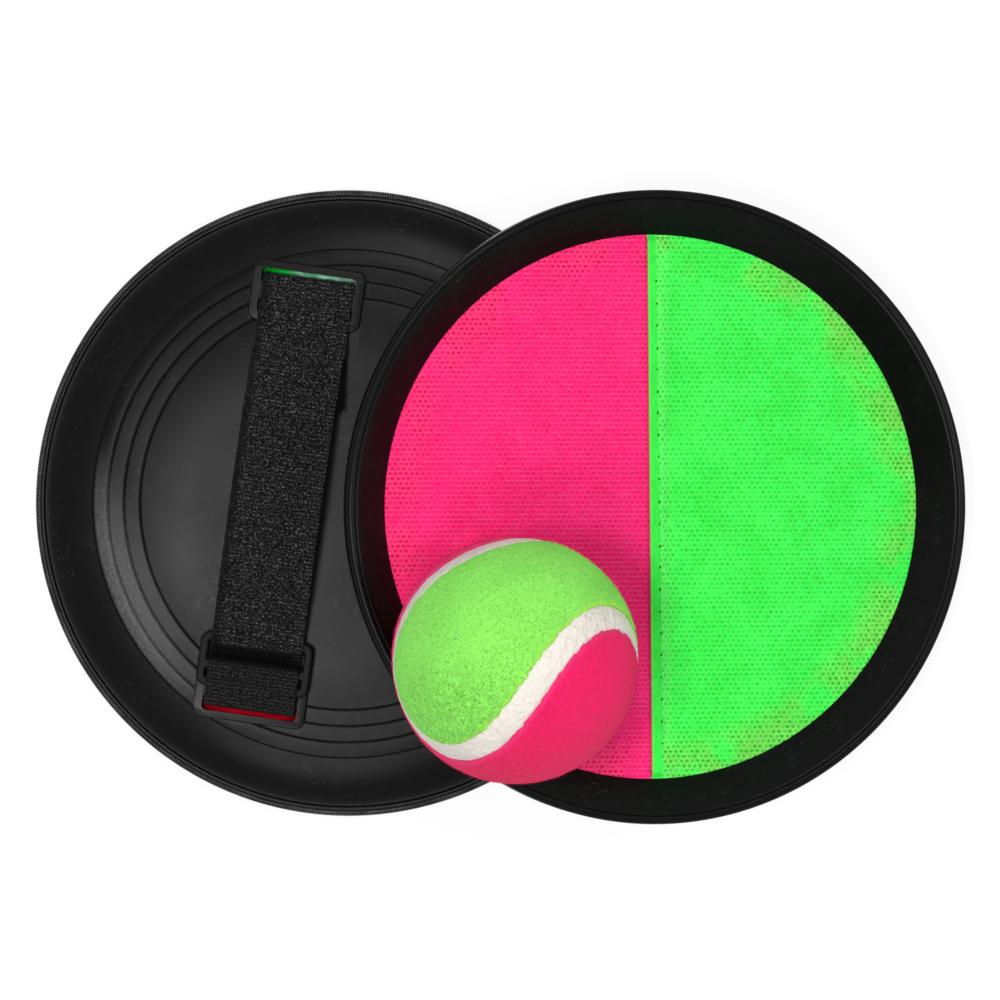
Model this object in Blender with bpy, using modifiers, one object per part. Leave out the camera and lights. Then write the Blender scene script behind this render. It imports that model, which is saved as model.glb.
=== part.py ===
"""Toss and catch set: two round catch paddles with hand straps, and a felt ball.

Each paddle is modelled back up: local Z runs from the lip plane (0) to the back, local Y runs along
the hand strap to the green end, and the strap lies off the middle on the -X side. The left paddle
lies face down. The right one lies face up, with its near side resting on the left one.
"""
import math

import bmesh
import bpy
from mathutils import Euler, Matrix, Vector
from mathutils.bvhtree import BVHTree

MM = 0.001
CLEARANCE = 0.3 * MM

# Paddle body
PADDLE_RADIUS = 87.5 * MM
BODY_DEPTH = 17.5 * MM
SHELL_WALL = 1.9 * MM
RIM_WALL = 1.4 * MM
RIM_DEPTH = 7.3 * MM
RIM_FLANGE = 1.2 * MM
WALL_RUN = 16.8 * MM
PLATEAU_RADIUS = PADDLE_RADIUS - WALL_RUN
TERRACES = 3
TERRACE_WIDTH = 4.55 * MM
TERRACE_RISE = 0.9 * MM
TERRACE_COVE = 1.5 * MM
PLATEAU_STEP = 0.6 * MM

# Front ring
LIP_ROUND = 1.5 * MM
LIP_LAND = 1.0 * MM
SKIRT_WALL = 1.2 * MM
SKIRT_DEPTH = 6.5 * MM
RING_WALL = 1.6 * MM
RING_FOOT_DEPTH = 9.0 * MM
RING_FACE_WIDTH = 12.2 * MM
RING_OPENING_RADIUS = PADDLE_RADIUS - RING_FACE_WIDTH

# Catching fabric
FABRIC_THICKNESS = 1.0 * MM
FABRIC_TUCK = 3.5 * MM
CLAMP_RIB = 1.6 * MM
SEAM_OFFSET = -0.8 * MM
HEM_LAP = 4.2 * MM
HEM_RAMP = 1.5 * MM

# Strap anchors, moulded on the back shell
STRAP_OFFSET = -18.8 * MM
ANCHOR_REACH = 55.7 * MM
ANCHOR_BORDER = 2.1 * MM
ANCHOR_RISE = 0.8 * MM
ANCHOR_DEPTH = 5.0 * MM
ANCHOR_CORNER = 3.0 * MM
SLOT_LENGTH = 3.8 * MM
SLOT_CORNER = 1.2 * MM
CROSSBAR_WIDTH = 5.2 * MM
CROSSBAR_THICKNESS = 1.5 * MM
CROSSBAR_DROP = 0.6 * MM

# Webbing and slider
STRAP_WIDTH = 25.4 * MM
STRAP_THICKNESS = 1.1 * MM
STRAP_SIDE_PLAY = 0.6 * MM
STRAP_TAIL = 28.0 * MM
STRAP_SLACK = 7.0 * MM
STRAP_BEND = 1.2 * MM
SLIDER_THICKNESS = 2.0 * MM
SLIDER_BAR = 2.6 * MM
SLIDER_RAIL = 2.5 * MM
SLIDER_UPPER_WINDOW = 5.2 * MM
SLIDER_LOWER_WINDOW = 2.3 * MM
SLIDER_LAP = 8.0 * MM
SLIDER_CORNER = 2.8 * MM
EDGE_ROUND = 0.4 * MM

# Ball
BALL_RADIUS = 33.5 * MM
FELT_THICKNESS = 1.0 * MM
SEAM_BAND_WIDTH = 7.3 * MM
SEAM_BAND_RECESS = 0.3 * MM
SEAM_BAND_ROOT = 3.0 * MM
SEAM_SHARE = 0.247
BALL_TURN = (-134.1, 69.3, 101.7)
BALL_BEARING = 222.0

# Layout on the surface
LEFT_PLACE = (-43.2 * MM, -0.6 * MM)
LEFT_TURN = -8.0
RIGHT_PLACE = (43.9 * MM, -1.3 * MM)

TURNS = 46
ARC_STEPS = 3

COLOURS = {
    "black_plastic": (0.012, 0.012, 0.013, 0.32),
    "black_webbing": (0.010, 0.010, 0.011, 0.95),
    "pink_fabric": (0.90, 0.03, 0.20, 0.85),
    "green_fabric": (0.04, 0.80, 0.07, 0.85),
    "pink_felt": (0.90, 0.02, 0.12, 0.95),
    "green_felt": (0.15, 0.85, 0.10, 0.95),
    "white_rubber": (0.85, 0.83, 0.80, 0.60),
}


def clear_scene():
    for old in list(bpy.data.objects):
        bpy.data.objects.remove(old, do_unlink=True)


def material(name):
    found = bpy.data.materials.get(name)
    if found:
        return found
    made = bpy.data.materials.new(name)
    made.use_nodes = True
    red, green, blue, roughness = COLOURS[name]
    shader = made.node_tree.nodes["Principled BSDF"]
    shader.inputs["Base Color"].default_value = (red, green, blue, 1.0)
    shader.inputs["Roughness"].default_value = roughness
    shader.inputs["Metallic"].default_value = 0.0
    return made


def new_object(name, mesh, collection):
    made = bpy.data.objects.new(name, mesh)
    collection.objects.link(made)
    return made


def bake(obj):
    """Replace an object by a closed mesh of its evaluated shape."""
    bpy.context.view_layer.update()
    evaluated = obj.evaluated_get(bpy.context.evaluated_depsgraph_get())
    mesh = bpy.data.meshes.new_from_object(evaluated)
    name = obj.name
    collection = obj.users_collection[0]
    matrix = obj.matrix_world.copy()
    bpy.data.objects.remove(obj, do_unlink=True)
    shape = bmesh.new()
    shape.from_mesh(mesh)
    bmesh.ops.remove_doubles(shape, verts=shape.verts, dist=1e-6)
    bmesh.ops.recalc_face_normals(shape, faces=shape.faces)
    shape.to_mesh(mesh)
    shape.free()
    made = new_object(name, mesh, collection)
    made.name = name
    made.matrix_world = matrix
    return made


def combine(target, tool, operation):
    """Join, cut or intersect a target with a tool, and take the tool away."""
    step = target.modifiers.new(operation.lower(), "BOOLEAN")
    step.operation = operation
    step.solver = "EXACT"
    step.object = tool
    result = bake(target)
    bpy.data.objects.remove(tool, do_unlink=True)
    return result


def turned(name, profile, collection, closed=False):
    """Turn a profile of (radius, height) points about the Z axis."""
    mesh = bpy.data.meshes.new(name)
    points = [(radius, 0.0, height) for radius, height in profile]
    edges = [(index, index + 1) for index in range(len(points) - 1)]
    if closed:
        edges.append((len(points) - 1, 0))
    mesh.from_pydata(points, edges, [])
    obj = new_object(name, mesh, collection)
    screw = obj.modifiers.new("turn", "SCREW")
    screw.axis = "Z"
    screw.angle = 2.0 * math.pi
    screw.steps = TURNS
    screw.render_steps = TURNS
    screw.use_merge_vertices = True
    screw.merge_threshold = 1e-5
    return bake(obj)


def arc(centre, radii, start, end, steps):
    """Points on an ellipse arc, with angles in degrees, both ends included."""
    points = []
    for index in range(steps + 1):
        angle = math.radians(start + (end - start) * index / steps)
        points.append((centre[0] + radii[0] * math.cos(angle), centre[1] + radii[1] * math.sin(angle)))
    return points


def rounded_rectangle(width, length, radius, centre=(0.0, 0.0)):
    """Outline of a rectangle with rounded corners."""
    half_width = width / 2 - radius
    half_length = length / 2 - radius
    outline = []
    for side_x, side_y, start in ((1, 1, 0), (-1, 1, 90), (-1, -1, 180), (1, -1, 270)):
        corner = (centre[0] + side_x * half_width, centre[1] + side_y * half_length)
        outline += arc(corner, (radius, radius), start, start + 90, ARC_STEPS)
    return outline


def plate(name, outlines, bottom, top, collection, edge=0.0):
    """A flat piece from closed outlines, the first one outside and the rest holes."""
    curve = bpy.data.curves.new(name, "CURVE")
    curve.dimensions = "2D"
    curve.fill_mode = "BOTH"
    curve.extrude = (top - bottom) / 2 - edge
    curve.bevel_depth = edge
    curve.bevel_resolution = 1
    curve.offset = -edge
    curve.render_resolution_u = 0
    for outline in outlines:
        spline = curve.splines.new("POLY")
        spline.points.add(len(outline) - 1)
        for point, place in zip(spline.points, outline):
            point.co = (place[0], place[1], 0.0, 1.0)
        spline.use_cyclic_u = True
    obj = new_object(name, curve, collection)
    obj.location.z = (bottom + top) / 2
    return bake(obj)


# The paddle body's section, from values shared by the pieces that meet there

def lip_centre(inner):
    """Centre of the lip's outer or inner rounding."""
    outer = PADDLE_RADIUS - LIP_ROUND
    return (outer - LIP_LAND if inner else outer, LIP_ROUND)


def slope_angle():
    """Steepness of the ring's inner wall, tangent to the lip and ending at the fabric."""
    centre = lip_centre(True)
    run = centre[0] - RING_OPENING_RADIUS
    drop = RING_FOOT_DEPTH - centre[1]
    reach = math.hypot(run, drop)
    return math.atan2(drop, run) + math.asin(LIP_ROUND / reach)


def hidden_slope_radius(depth):
    """Radius of the inner wall's hidden side at a depth."""
    angle = slope_angle()
    centre = lip_centre(True)
    inset = LIP_ROUND - RING_WALL
    start = (centre[0] - inset * math.sin(angle), centre[1] - inset * math.cos(angle))
    return start[0] - (depth - start[1]) / math.tan(angle)


def rim_radius():
    return PADDLE_RADIUS - SKIRT_WALL - CLEARANCE


def wall_foot():
    return (rim_radius() - RIM_FLANGE, RIM_DEPTH - EDGE_ROUND)


def terrace_depth(index):
    """Depth of terrace 1 (the outermost) and so on; one past the last is the plateau."""
    return BODY_DEPTH - (TERRACES + 1 - index) * TERRACE_RISE


def terrace_radius(index):
    """Outer radius of a terrace."""
    return PLATEAU_RADIUS - (index - 1) * TERRACE_WIDTH


def wall_curve(inset, steps):
    """The outer wall's quarter ellipse, from its foot to the plateau's edge."""
    foot = wall_foot()
    crown = (PLATEAU_RADIUS + CLEARANCE, terrace_depth(1) - PLATEAU_STEP)
    radii = (foot[0] - crown[0] - inset, crown[1] - foot[1] - inset)
    return arc((crown[0], foot[1]), radii, 0, 90, steps)


def fabric_front():
    return RING_FOOT_DEPTH + CLEARANCE


def fabric_back():
    return fabric_front() + FABRIC_THICKNESS


def fabric_edge():
    return RING_OPENING_RADIUS + FABRIC_TUCK


def level_on(curve, radius):
    """Depth of a curve, with its points in order of radius, at one radius."""
    for start, end in zip(curve, curve[1:]):
        if start[0] <= radius <= end[0]:
            share = (radius - start[0]) / (end[0] - start[0])
            return start[1] + share * (end[1] - start[1])
    return curve[0][1]


def shell_profile():
    """Half section of the back shell, from the middle of the back round to the middle inside."""
    rim = rim_radius()
    rim_start = LIP_ROUND + RING_WALL
    back = [(0.0, BODY_DEPTH)]
    for index in range(TERRACES, 0, -1):
        edge = terrace_radius(index + 1)
        level = terrace_depth(index + 1)
        back += arc((edge + TERRACE_COVE, level), (TERRACE_COVE, TERRACE_RISE), 180, 270, 2)
    back.append((PLATEAU_RADIUS, terrace_depth(1)))
    back += wall_curve(0.0, 5)[::-1]
    back.append((rim - RIM_FLANGE + EDGE_ROUND / 2, RIM_DEPTH))
    back += [(rim - EDGE_ROUND, RIM_DEPTH), (rim, RIM_DEPTH - EDGE_ROUND), (rim, rim_start)]
    inside = [(rim - RIM_WALL, rim_start), (rim - RIM_WALL, wall_foot()[1] - EDGE_ROUND)]
    inner_wall = wall_curve(SHELL_WALL, 5)[::-1]
    rib_out = fabric_edge() - CLEARANCE
    rib_in = rib_out - CLAMP_RIB
    rib_face = fabric_back() + CLEARANCE
    inside += [point for point in inner_wall[::-1] if point[0] > rib_out]
    inside += [(rib_out, level_on(inner_wall, rib_out)), (rib_out, rib_face)]
    inside += [(rib_in, rib_face), (rib_in, level_on(inner_wall, rib_in))]
    inside += [point for point in inner_wall[::-1] if point[0] < rib_in]
    underside = BODY_DEPTH - SHELL_WALL
    inside += [(terrace_radius(TERRACES + 1) - SHELL_WALL / 2, underside), (0.0, underside)]
    return back + inside


def ring_profile():
    angle = math.degrees(slope_angle())
    skirt_inside = PADDLE_RADIUS - SKIRT_WALL
    under_lip = LIP_ROUND + RING_WALL / 4
    points = [(PADDLE_RADIUS, SKIRT_DEPTH)]
    points += arc(lip_centre(False), (LIP_ROUND, LIP_ROUND), 0, -90, 3)
    points += arc(lip_centre(True), (LIP_ROUND, LIP_ROUND), -90, -90 - angle, 2)
    points.append((RING_OPENING_RADIUS, RING_FOOT_DEPTH))
    points.append((hidden_slope_radius(RING_FOOT_DEPTH), RING_FOOT_DEPTH))
    points.append((hidden_slope_radius(under_lip), under_lip))
    points.append((skirt_inside, under_lip))
    points.append((skirt_inside, SKIRT_DEPTH))
    return points


# Strap anchors

def slot_pitch():
    return CROSSBAR_WIDTH + SLOT_LENGTH


def slot_width():
    return STRAP_WIDTH + 2 * STRAP_SIDE_PLAY


def anchor_length():
    return 2 * (SLOT_LENGTH + ANCHOR_BORDER) + CROSSBAR_WIDTH


def add_anchor(shell, end, collection):
    """Fuse one anchor frame to the shell, open its window and put the crossbar across it."""
    centre = (STRAP_OFFSET, end * ANCHOR_REACH)
    top = BODY_DEPTH + ANCHOR_RISE
    bottom = BODY_DEPTH - ANCHOR_DEPTH
    width = slot_width() + 2 * SLIDER_RAIL
    outline = rounded_rectangle(width, anchor_length(), ANCHOR_CORNER, centre)
    frame = plate("frame", [outline], bottom, top, collection, EDGE_ROUND)
    shell = combine(shell, frame, "UNION")
    opening = rounded_rectangle(slot_width(), slot_pitch() + SLOT_LENGTH, SLOT_CORNER, centre)
    window = plate("window", [opening], bottom - ANCHOR_RISE, top + ANCHOR_RISE, collection)
    shell = combine(shell, window, "DIFFERENCE")
    bar_outline = rounded_rectangle(slot_width() + SLIDER_RAIL, CROSSBAR_WIDTH, EDGE_ROUND, centre)
    bar_top = top - CROSSBAR_DROP
    bar = plate("bar", [bar_outline], bar_top - CROSSBAR_THICKNESS, bar_top, collection, EDGE_ROUND)
    return combine(shell, bar, "UNION")


def make_back_shell(side, collection):
    shell = turned(side + "_back_shell", shell_profile(), collection)
    for end in (1, -1):
        shell = add_anchor(shell, end, collection)
    return shell


def make_front_ring(side, collection):
    return turned(side + "_front_ring", ring_profile(), collection, closed=True)


# Fabric

def half_disc(radius, start):
    """Outline of the part of a disc beyond a line at Y = start."""
    begin = math.degrees(math.asin(start / radius))
    return arc((0.0, 0.0), (radius, radius), begin, 180 - begin, TURNS // 2)


def hem_edge():
    return SEAM_OFFSET + HEM_LAP


def make_pink_fabric(side, collection):
    """The pink half runs on under the green hem."""
    under_hem = hem_edge() - CLEARANCE
    outline = [(-x, -y) for x, y in half_disc(fabric_edge(), -under_hem)]
    name = side + "_pink_fabric"
    return plate(name, [outline], fabric_front(), fabric_back(), collection)


def make_green_fabric(side, collection):
    """The green half rises over the pink edge and ends in a flat hem."""
    front = fabric_front()
    back = fabric_back()
    lift = FABRIC_THICKNESS + CLEARANCE
    far = fabric_edge() + FABRIC_TUCK
    section = [
        (SEAM_OFFSET, front - lift),
        (hem_edge() - HEM_RAMP / 2, front - lift),
        (hem_edge() + HEM_RAMP, front),
        (far, front),
        (far, back),
        (hem_edge() + HEM_RAMP / 2, back),
        (hem_edge() + HEM_RAMP / 2, front),
        (hem_edge() - HEM_RAMP / 2, back - lift),
        (SEAM_OFFSET, back - lift),
    ]
    sheet = plate(side + "_green_fabric", [section], -far, far, collection)
    sheet.matrix_world = Matrix(((0, 0, 1, 0), (1, 0, 0, 0), (0, 1, 0, 0), (0, 0, 0, 1)))
    inner = RING_OPENING_RADIUS - CLEARANCE
    level = front - CLEARANCE / 2
    low = front - 2 * lift
    high = back + lift
    outline = [(0.0, low), (inner, low), (inner, level), (fabric_edge(), level)]
    outline += [(fabric_edge(), high), (0.0, high)]
    sheet = combine(sheet, turned("clip", outline, collection), "INTERSECT")
    return sheet


# Webbing: its route is a centre line of (along the strap, above the plateau)

def strap_levels():
    """Heights of the webbing's centre line over the things it crosses."""
    half = STRAP_THICKNESS / 2 + CLEARANCE
    bar_top = ANCHOR_RISE - CROSSBAR_DROP
    levels = {
        "plate": half,
        "over_bar": bar_top + half,
        "under_bar": bar_top - CROSSBAR_THICKNESS - half,
        "border": ANCHOR_RISE + half,
    }
    levels["second"] = levels["border"] + 2 * half - CLEARANCE
    levels["slider"] = slider_bottom() + SLIDER_THICKNESS + half
    return levels


def slider_bottom():
    return ANCHOR_RISE + STRAP_THICKNESS + 2 * CLEARANCE


def slider_length():
    return 3 * SLIDER_BAR + SLIDER_UPPER_WINDOW + SLIDER_LOWER_WINDOW


def slider_top():
    """Place along the strap of the slider's edge that faces the hand."""
    return -(ANCHOR_REACH - anchor_length() / 2 + SLIDER_LAP - slider_length())


def rounded_route(corners):
    """Polyline through (along, up, radius) corners with arcs at the corners."""
    route = [Vector(corners[0][:2])]
    for before, here, after in zip(corners, corners[1:], corners[2:]):
        point = Vector(here[:2])
        back = (Vector(before[:2]) - point)
        ahead = (Vector(after[:2]) - point)
        half_turn = back.angle(ahead) / 2
        cut = here[2] / math.tan(half_turn)
        cut = min(cut, back.length * 0.49, ahead.length * 0.49)
        radius = cut * math.tan(half_turn)
        centre = point + (back.normalized() + ahead.normalized()).normalized() * math.hypot(cut, radius)
        start = point + back.normalized() * cut - centre
        end = point + ahead.normalized() * cut - centre
        turn = start.angle_signed(end)
        steps = max(1, round(abs(turn) / math.radians(30)))
        for index in range(steps + 1):
            route.append(centre + Matrix.Rotation(-turn * index / steps, 2) @ start)
    route.append(Vector(corners[-1][:2]))
    return route


def hand_span(slack, levels):
    """The stretch over the hand, from the upper anchor to the slider."""
    upper = ANCHOR_REACH - anchor_length() / 2 - STRAP_BEND
    lower = slider_top() + STRAP_BEND
    start = levels["second"]
    end = levels["slider"]
    if slack > 0:
        corners = []
        stretches = 8
        for index in range(stretches + 1):
            share = index / stretches
            rise = 4 * slack * share * (1 - share)
            place = upper + (lower - upper) * share
            corners.append((place, start + (end - start) * share + rise, 20 * MM))
        return corners
    bend = 4 * STRAP_BEND
    tail = upper - STRAP_TAIL
    layer = levels["plate"] + STRAP_THICKNESS + CLEARANCE
    return [
        (upper, start, bend),
        (upper - bend, layer, bend),
        (tail - STRAP_BEND, layer, bend),
        (tail - 3 * STRAP_BEND, levels["plate"], bend),
        (lower + bend, levels["plate"], bend),
        (lower, end, STRAP_BEND),
    ]


def tail_under(span, levels, slack):
    """The webbing's upper tail, one layer below the hand span."""
    layer = STRAP_THICKNESS + CLEARANCE
    upper = span[0][0]
    corners = []
    for place, height, radius in span:
        if place < upper - STRAP_TAIL:
            break
        corners.append((place, height - layer, radius))
    if slack <= 0:
        corners[-1] = (upper - STRAP_TAIL, levels["plate"], STRAP_BEND)
    return corners[::-1]


def strap_corners(slack):
    """Corners of the whole route, from the upper tail to the end tucked in the slider."""
    levels = strap_levels()
    bend = STRAP_BEND
    inner = ANCHOR_REACH - slot_pitch() / 2
    outer = ANCHOR_REACH + slot_pitch() / 2
    span = hand_span(slack, levels)
    route = tail_under(span, levels, slack)
    route += [
        (inner, levels["border"], bend + CLEARANCE),
        (inner, levels["under_bar"], bend),
        (outer, levels["under_bar"], bend),
        (outer, levels["over_bar"], bend),
        (ANCHOR_REACH - CROSSBAR_WIDTH / 4, levels["over_bar"], bend),
        (inner - CLEARANCE, levels["second"], bend),
    ]
    route += span
    window_top = slider_top() - SLIDER_BAR
    window_end = window_top - SLIDER_UPPER_WINDOW
    half = STRAP_THICKNESS / 2 + CLEARANCE
    tuck = window_end + half
    bottom_edge = slider_top() - slider_length()
    bulge = bottom_edge - (bottom_edge + outer) / 2
    route += [
        (window_top - half, levels["slider"], bend),
        (tuck + CLEARANCE, levels["border"], bend),
        (-inner, levels["border"], bend + CLEARANCE),
        (-inner, levels["under_bar"], bend),
        (-outer, levels["under_bar"], bend),
        (-outer, levels["over_bar"] - half, 2 * bend),
        (-outer + CLEARANCE, levels["over_bar"] + bend, 2 * bend),
        (bulge, levels["slider"] - bend, 2 * bend),
        (bottom_edge - CLEARANCE, levels["slider"], 2 * bend),
        (tuck, levels["slider"], bend),
        (tuck, slider_bottom() + SLIDER_THICKNESS / 2, bend),
    ]
    return route


def make_strap(side, slack, collection):
    """Webbing as an open strip across the route, thickened on both sides."""
    route = rounded_route(strap_corners(slack))
    name = side + "_strap"
    points = []
    for place in route:
        for edge in (-0.5, 0.5):
            points.append((STRAP_OFFSET + edge * STRAP_WIDTH, place.x, BODY_DEPTH + place.y))
    faces = []
    for index in range(len(route) - 1):
        first = 2 * index
        faces.append((first, first + 1, first + 3, first + 2))
    mesh = bpy.data.meshes.new(name)
    mesh.from_pydata(points, [], faces)
    strip = new_object(name, mesh, collection)
    thick = strip.modifiers.new("webbing", "SOLIDIFY")
    thick.thickness = STRAP_THICKNESS
    thick.offset = 0.0
    thick.use_even_offset = True
    return bake(strip)


def make_slider(side, collection):
    """Three-bar slider with two windows."""
    width = slot_width() + 2 * SLIDER_RAIL
    top = slider_top()
    middle = top - slider_length() / 2
    outlines = [rounded_rectangle(width, slider_length(), SLIDER_CORNER, (STRAP_OFFSET, middle))]
    edge = top
    for opening in (SLIDER_UPPER_WINDOW, SLIDER_LOWER_WINDOW):
        edge -= SLIDER_BAR + opening / 2
        centre = (STRAP_OFFSET, edge)
        outlines.append(rounded_rectangle(slot_width(), opening, EDGE_ROUND, centre))
        edge -= opening / 2
    bottom = BODY_DEPTH + slider_bottom()
    name = side + "_slider"
    return plate(name, outlines, bottom, bottom + SLIDER_THICKNESS, collection, EDGE_ROUND)


# Ball

def seam_direction(turn):
    """Unit vector of the ball's seam line, the curve that two equal panels share."""
    wide = 1.0 - SEAM_SHARE
    narrow = SEAM_SHARE
    x = wide * math.cos(turn) + narrow * math.cos(3 * turn)
    y = wide * math.sin(turn) - narrow * math.sin(3 * turn)
    z = 2 * math.sqrt(wide * narrow) * math.sin(2 * turn)
    return Vector((x, y, z)).normalized()


def seam_band(name, low, high, width, collection):
    """Closed band along the seam between two radii, lofted from curved cross strips."""
    stations = 72
    across = (-0.5, 0.0, 0.5)
    shape = bmesh.new()
    rings = []
    for index in range(stations):
        turn = 2 * math.pi * index / stations
        up = seam_direction(turn)
        along = seam_direction(turn + 0.01) - seam_direction(turn - 0.01)
        side = up.cross(along).normalized()
        ring = []
        for radius, order in ((high, across), (low, across[::-1])):
            for share in order:
                tilt = share * width / BALL_RADIUS
                ring.append(shape.verts.new((up * math.cos(tilt) + side * math.sin(tilt)) * radius))
        rings.append(ring)
    for first, second in zip(rings, rings[1:] + rings[:1]):
        for index in range(len(first)):
            after = (index + 1) % len(first)
            shape.faces.new((first[index], first[after], second[after], second[index]))
    bmesh.ops.recalc_face_normals(shape, faces=shape.faces)
    mesh = bpy.data.meshes.new(name)
    shape.to_mesh(mesh)
    shape.free()
    return new_object(name, mesh, collection)


def sphere(name, radius, detail, collection):
    shape = bmesh.new()
    bmesh.ops.create_icosphere(shape, subdivisions=detail, radius=radius)
    mesh = bpy.data.meshes.new(name)
    shape.to_mesh(mesh)
    shape.free()
    return new_object(name, mesh, collection)


def felt_inside():
    return BALL_RADIUS - FELT_THICKNESS


def make_ball_core(collection):
    core = sphere("ball_core", felt_inside() - CLEARANCE, 3, collection)
    low = felt_inside() - SEAM_BAND_ROOT
    high = BALL_RADIUS - SEAM_BAND_RECESS
    band = seam_band("band", low, high, SEAM_BAND_WIDTH, collection)
    return combine(core, band, "UNION")


def make_felt_panels(collection):
    """A felt shell cut through along the seam falls into two equal panels."""
    felt = sphere("felt", BALL_RADIUS, 4, collection)
    low = felt_inside() - SEAM_BAND_ROOT
    high = BALL_RADIUS + SEAM_BAND_ROOT
    width = SEAM_BAND_WIDTH + 2 * CLEARANCE
    felt = combine(felt, seam_band("cut", low, high, width, collection), "DIFFERENCE")
    inside = sphere("inside", felt_inside(), 3, collection)
    felt = combine(felt, inside, "DIFFERENCE")
    shape = bmesh.new()
    shape.from_mesh(felt.data)
    loose = set(shape.verts)
    groups = []
    while loose:
        stack = [loose.pop()]
        group = set(stack)
        while stack:
            for edge in stack.pop().link_edges:
                for vertex in edge.verts:
                    if vertex in loose:
                        loose.discard(vertex)
                        group.add(vertex)
                        stack.append(vertex)
        groups.append({vertex.index for vertex in group})
    panels = []
    groups.sort(key=lambda group: min(shape_x(shape, group)))
    for name, keep in zip(("ball_pink_felt", "ball_green_felt"), groups):
        part = shape.copy()
        part.verts.ensure_lookup_table()
        gone = [vertex for vertex in part.verts if vertex.index not in keep]
        bmesh.ops.delete(part, geom=gone, context="VERTS")
        mesh = bpy.data.meshes.new(name)
        part.to_mesh(mesh)
        part.free()
        panels.append(new_object(name, mesh, collection))
    shape.free()
    bpy.data.objects.remove(felt, do_unlink=True)
    return panels


def shape_x(shape, group):
    """X places of a group of vertices."""
    return [vertex.co.x for vertex in shape.verts if vertex.index in group]


# Assembly

def finish(obj, name, smooth_angle=35.0):
    obj.data.materials.clear()
    obj.data.materials.append(material(name))
    obj.data.shade_smooth()
    obj.data.set_sharp_from_angle(angle=math.radians(smooth_angle))


def make_paddle(side, slack, collection):
    """All the pieces of one paddle in its own frame, children of one empty."""
    hub = bpy.data.objects.new(side + "_paddle", None)
    collection.objects.link(hub)
    pieces = [
        (make_back_shell(side, collection), "black_plastic"),
        (make_front_ring(side, collection), "black_plastic"),
        (make_pink_fabric(side, collection), "pink_fabric"),
        (make_green_fabric(side, collection), "green_fabric"),
        (make_strap(side, slack, collection), "black_webbing"),
        (make_slider(side, collection), "black_plastic"),
    ]
    for piece, finish_name in pieces:
        finish(piece, finish_name)
        piece.parent = hub
    return hub


def left_matrix():
    place = Matrix.Translation((LEFT_PLACE[0], LEFT_PLACE[1], 0.0))
    return place @ Matrix.Rotation(math.radians(LEFT_TURN), 4, "Z")


def right_matrix(tilt, height):
    """Face up, strap along world X, near side raised by the tilt."""
    turned_over = Matrix(((0, 1, 0, 0), (1, 0, 0, 0), (0, 0, -1, 0), (0, 0, 0, 1)))
    place = Matrix.Translation((RIGHT_PLACE[0], RIGHT_PLACE[1], height))
    return place @ Matrix.Rotation(tilt, 4, "Y") @ turned_over


def paddle_points(hub):
    points = []
    faces = []
    for piece in hub.children:
        start = len(points)
        points += [piece.matrix_local @ vertex.co for vertex in piece.data.vertices]
        faces += [[start + index for index in face.vertices] for face in piece.data.polygons]
    return points, faces


def smallest_gap(lower, upper):
    """Least vertical gap between two paddles that lie one over the other."""
    up = Vector((0.0, 0.0, 1.0))
    far = 1.0
    gap = far
    upper_tree = BVHTree.FromPolygons(*upper)
    lower_tree = BVHTree.FromPolygons(*lower)
    for point in lower[0]:
        start = point - up * far
        hit = upper_tree.ray_cast(start, up)[0]
        if hit is not None:
            gap = min(gap, hit.z - point.z)
    for point in upper[0]:
        hit = lower_tree.ray_cast(point + up * far, -up)[0]
        if hit is not None:
            gap = min(gap, point.z - hit.z)
    return gap


def settle_right_paddle(left, right):
    """Find the least tilt at which the right paddle clears the left one, on the surface."""
    left_points, left_faces = paddle_points(left)
    right_points, right_faces = paddle_points(right)
    lower = ([left_matrix() @ point for point in left_points], left_faces)
    low_tilt = 0.0
    high_tilt = math.radians(40.0)
    for _ in range(16):
        tilt = (low_tilt + high_tilt) / 2
        flat = right_matrix(tilt, 0.0)
        height = -min((flat @ point).z for point in right_points)
        matrix = right_matrix(tilt, height)
        upper = ([matrix @ point for point in right_points], right_faces)
        if smallest_gap(lower, upper) > CLEARANCE:
            high_tilt = tilt
        else:
            low_tilt = tilt
    flat = right_matrix(high_tilt, 0.0)
    height = -min((flat @ point).z for point in right_points)
    return right_matrix(high_tilt, height)


def ball_place(matrix):
    """The ball sits on the hook fabric, rolled out against the ring."""
    centre_depth = fabric_front() - BALL_RADIUS - CLEARANCE
    lip = lip_centre(True)
    reach = BALL_RADIUS + CLEARANCE + LIP_ROUND
    by_lip = lip[0] - math.sqrt(reach ** 2 - (lip[1] - centre_depth) ** 2)
    by_slope = RING_OPENING_RADIUS - (BALL_RADIUS + CLEARANCE) * math.tan(slope_angle() / 2)
    distance = min(by_lip, by_slope)
    bearing = math.radians(BALL_BEARING)
    return matrix @ Vector((distance * math.sin(bearing), distance * math.cos(bearing), centre_depth))


def centre_on_origin(parents):
    """Move the whole set so that its footprint is centred on the origin."""
    bpy.context.view_layer.update()
    places = []
    for parent in parents:
        for piece in parent.children:
            places += [piece.matrix_world @ vertex.co for vertex in piece.data.vertices]
    middle = []
    for axis in range(2):
        values = [place[axis] for place in places]
        middle.append((min(values) + max(values)) / 2)
    for parent in parents:
        parent.matrix_world = Matrix.Translation((-middle[0], -middle[1], 0.0)) @ parent.matrix_world


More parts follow.
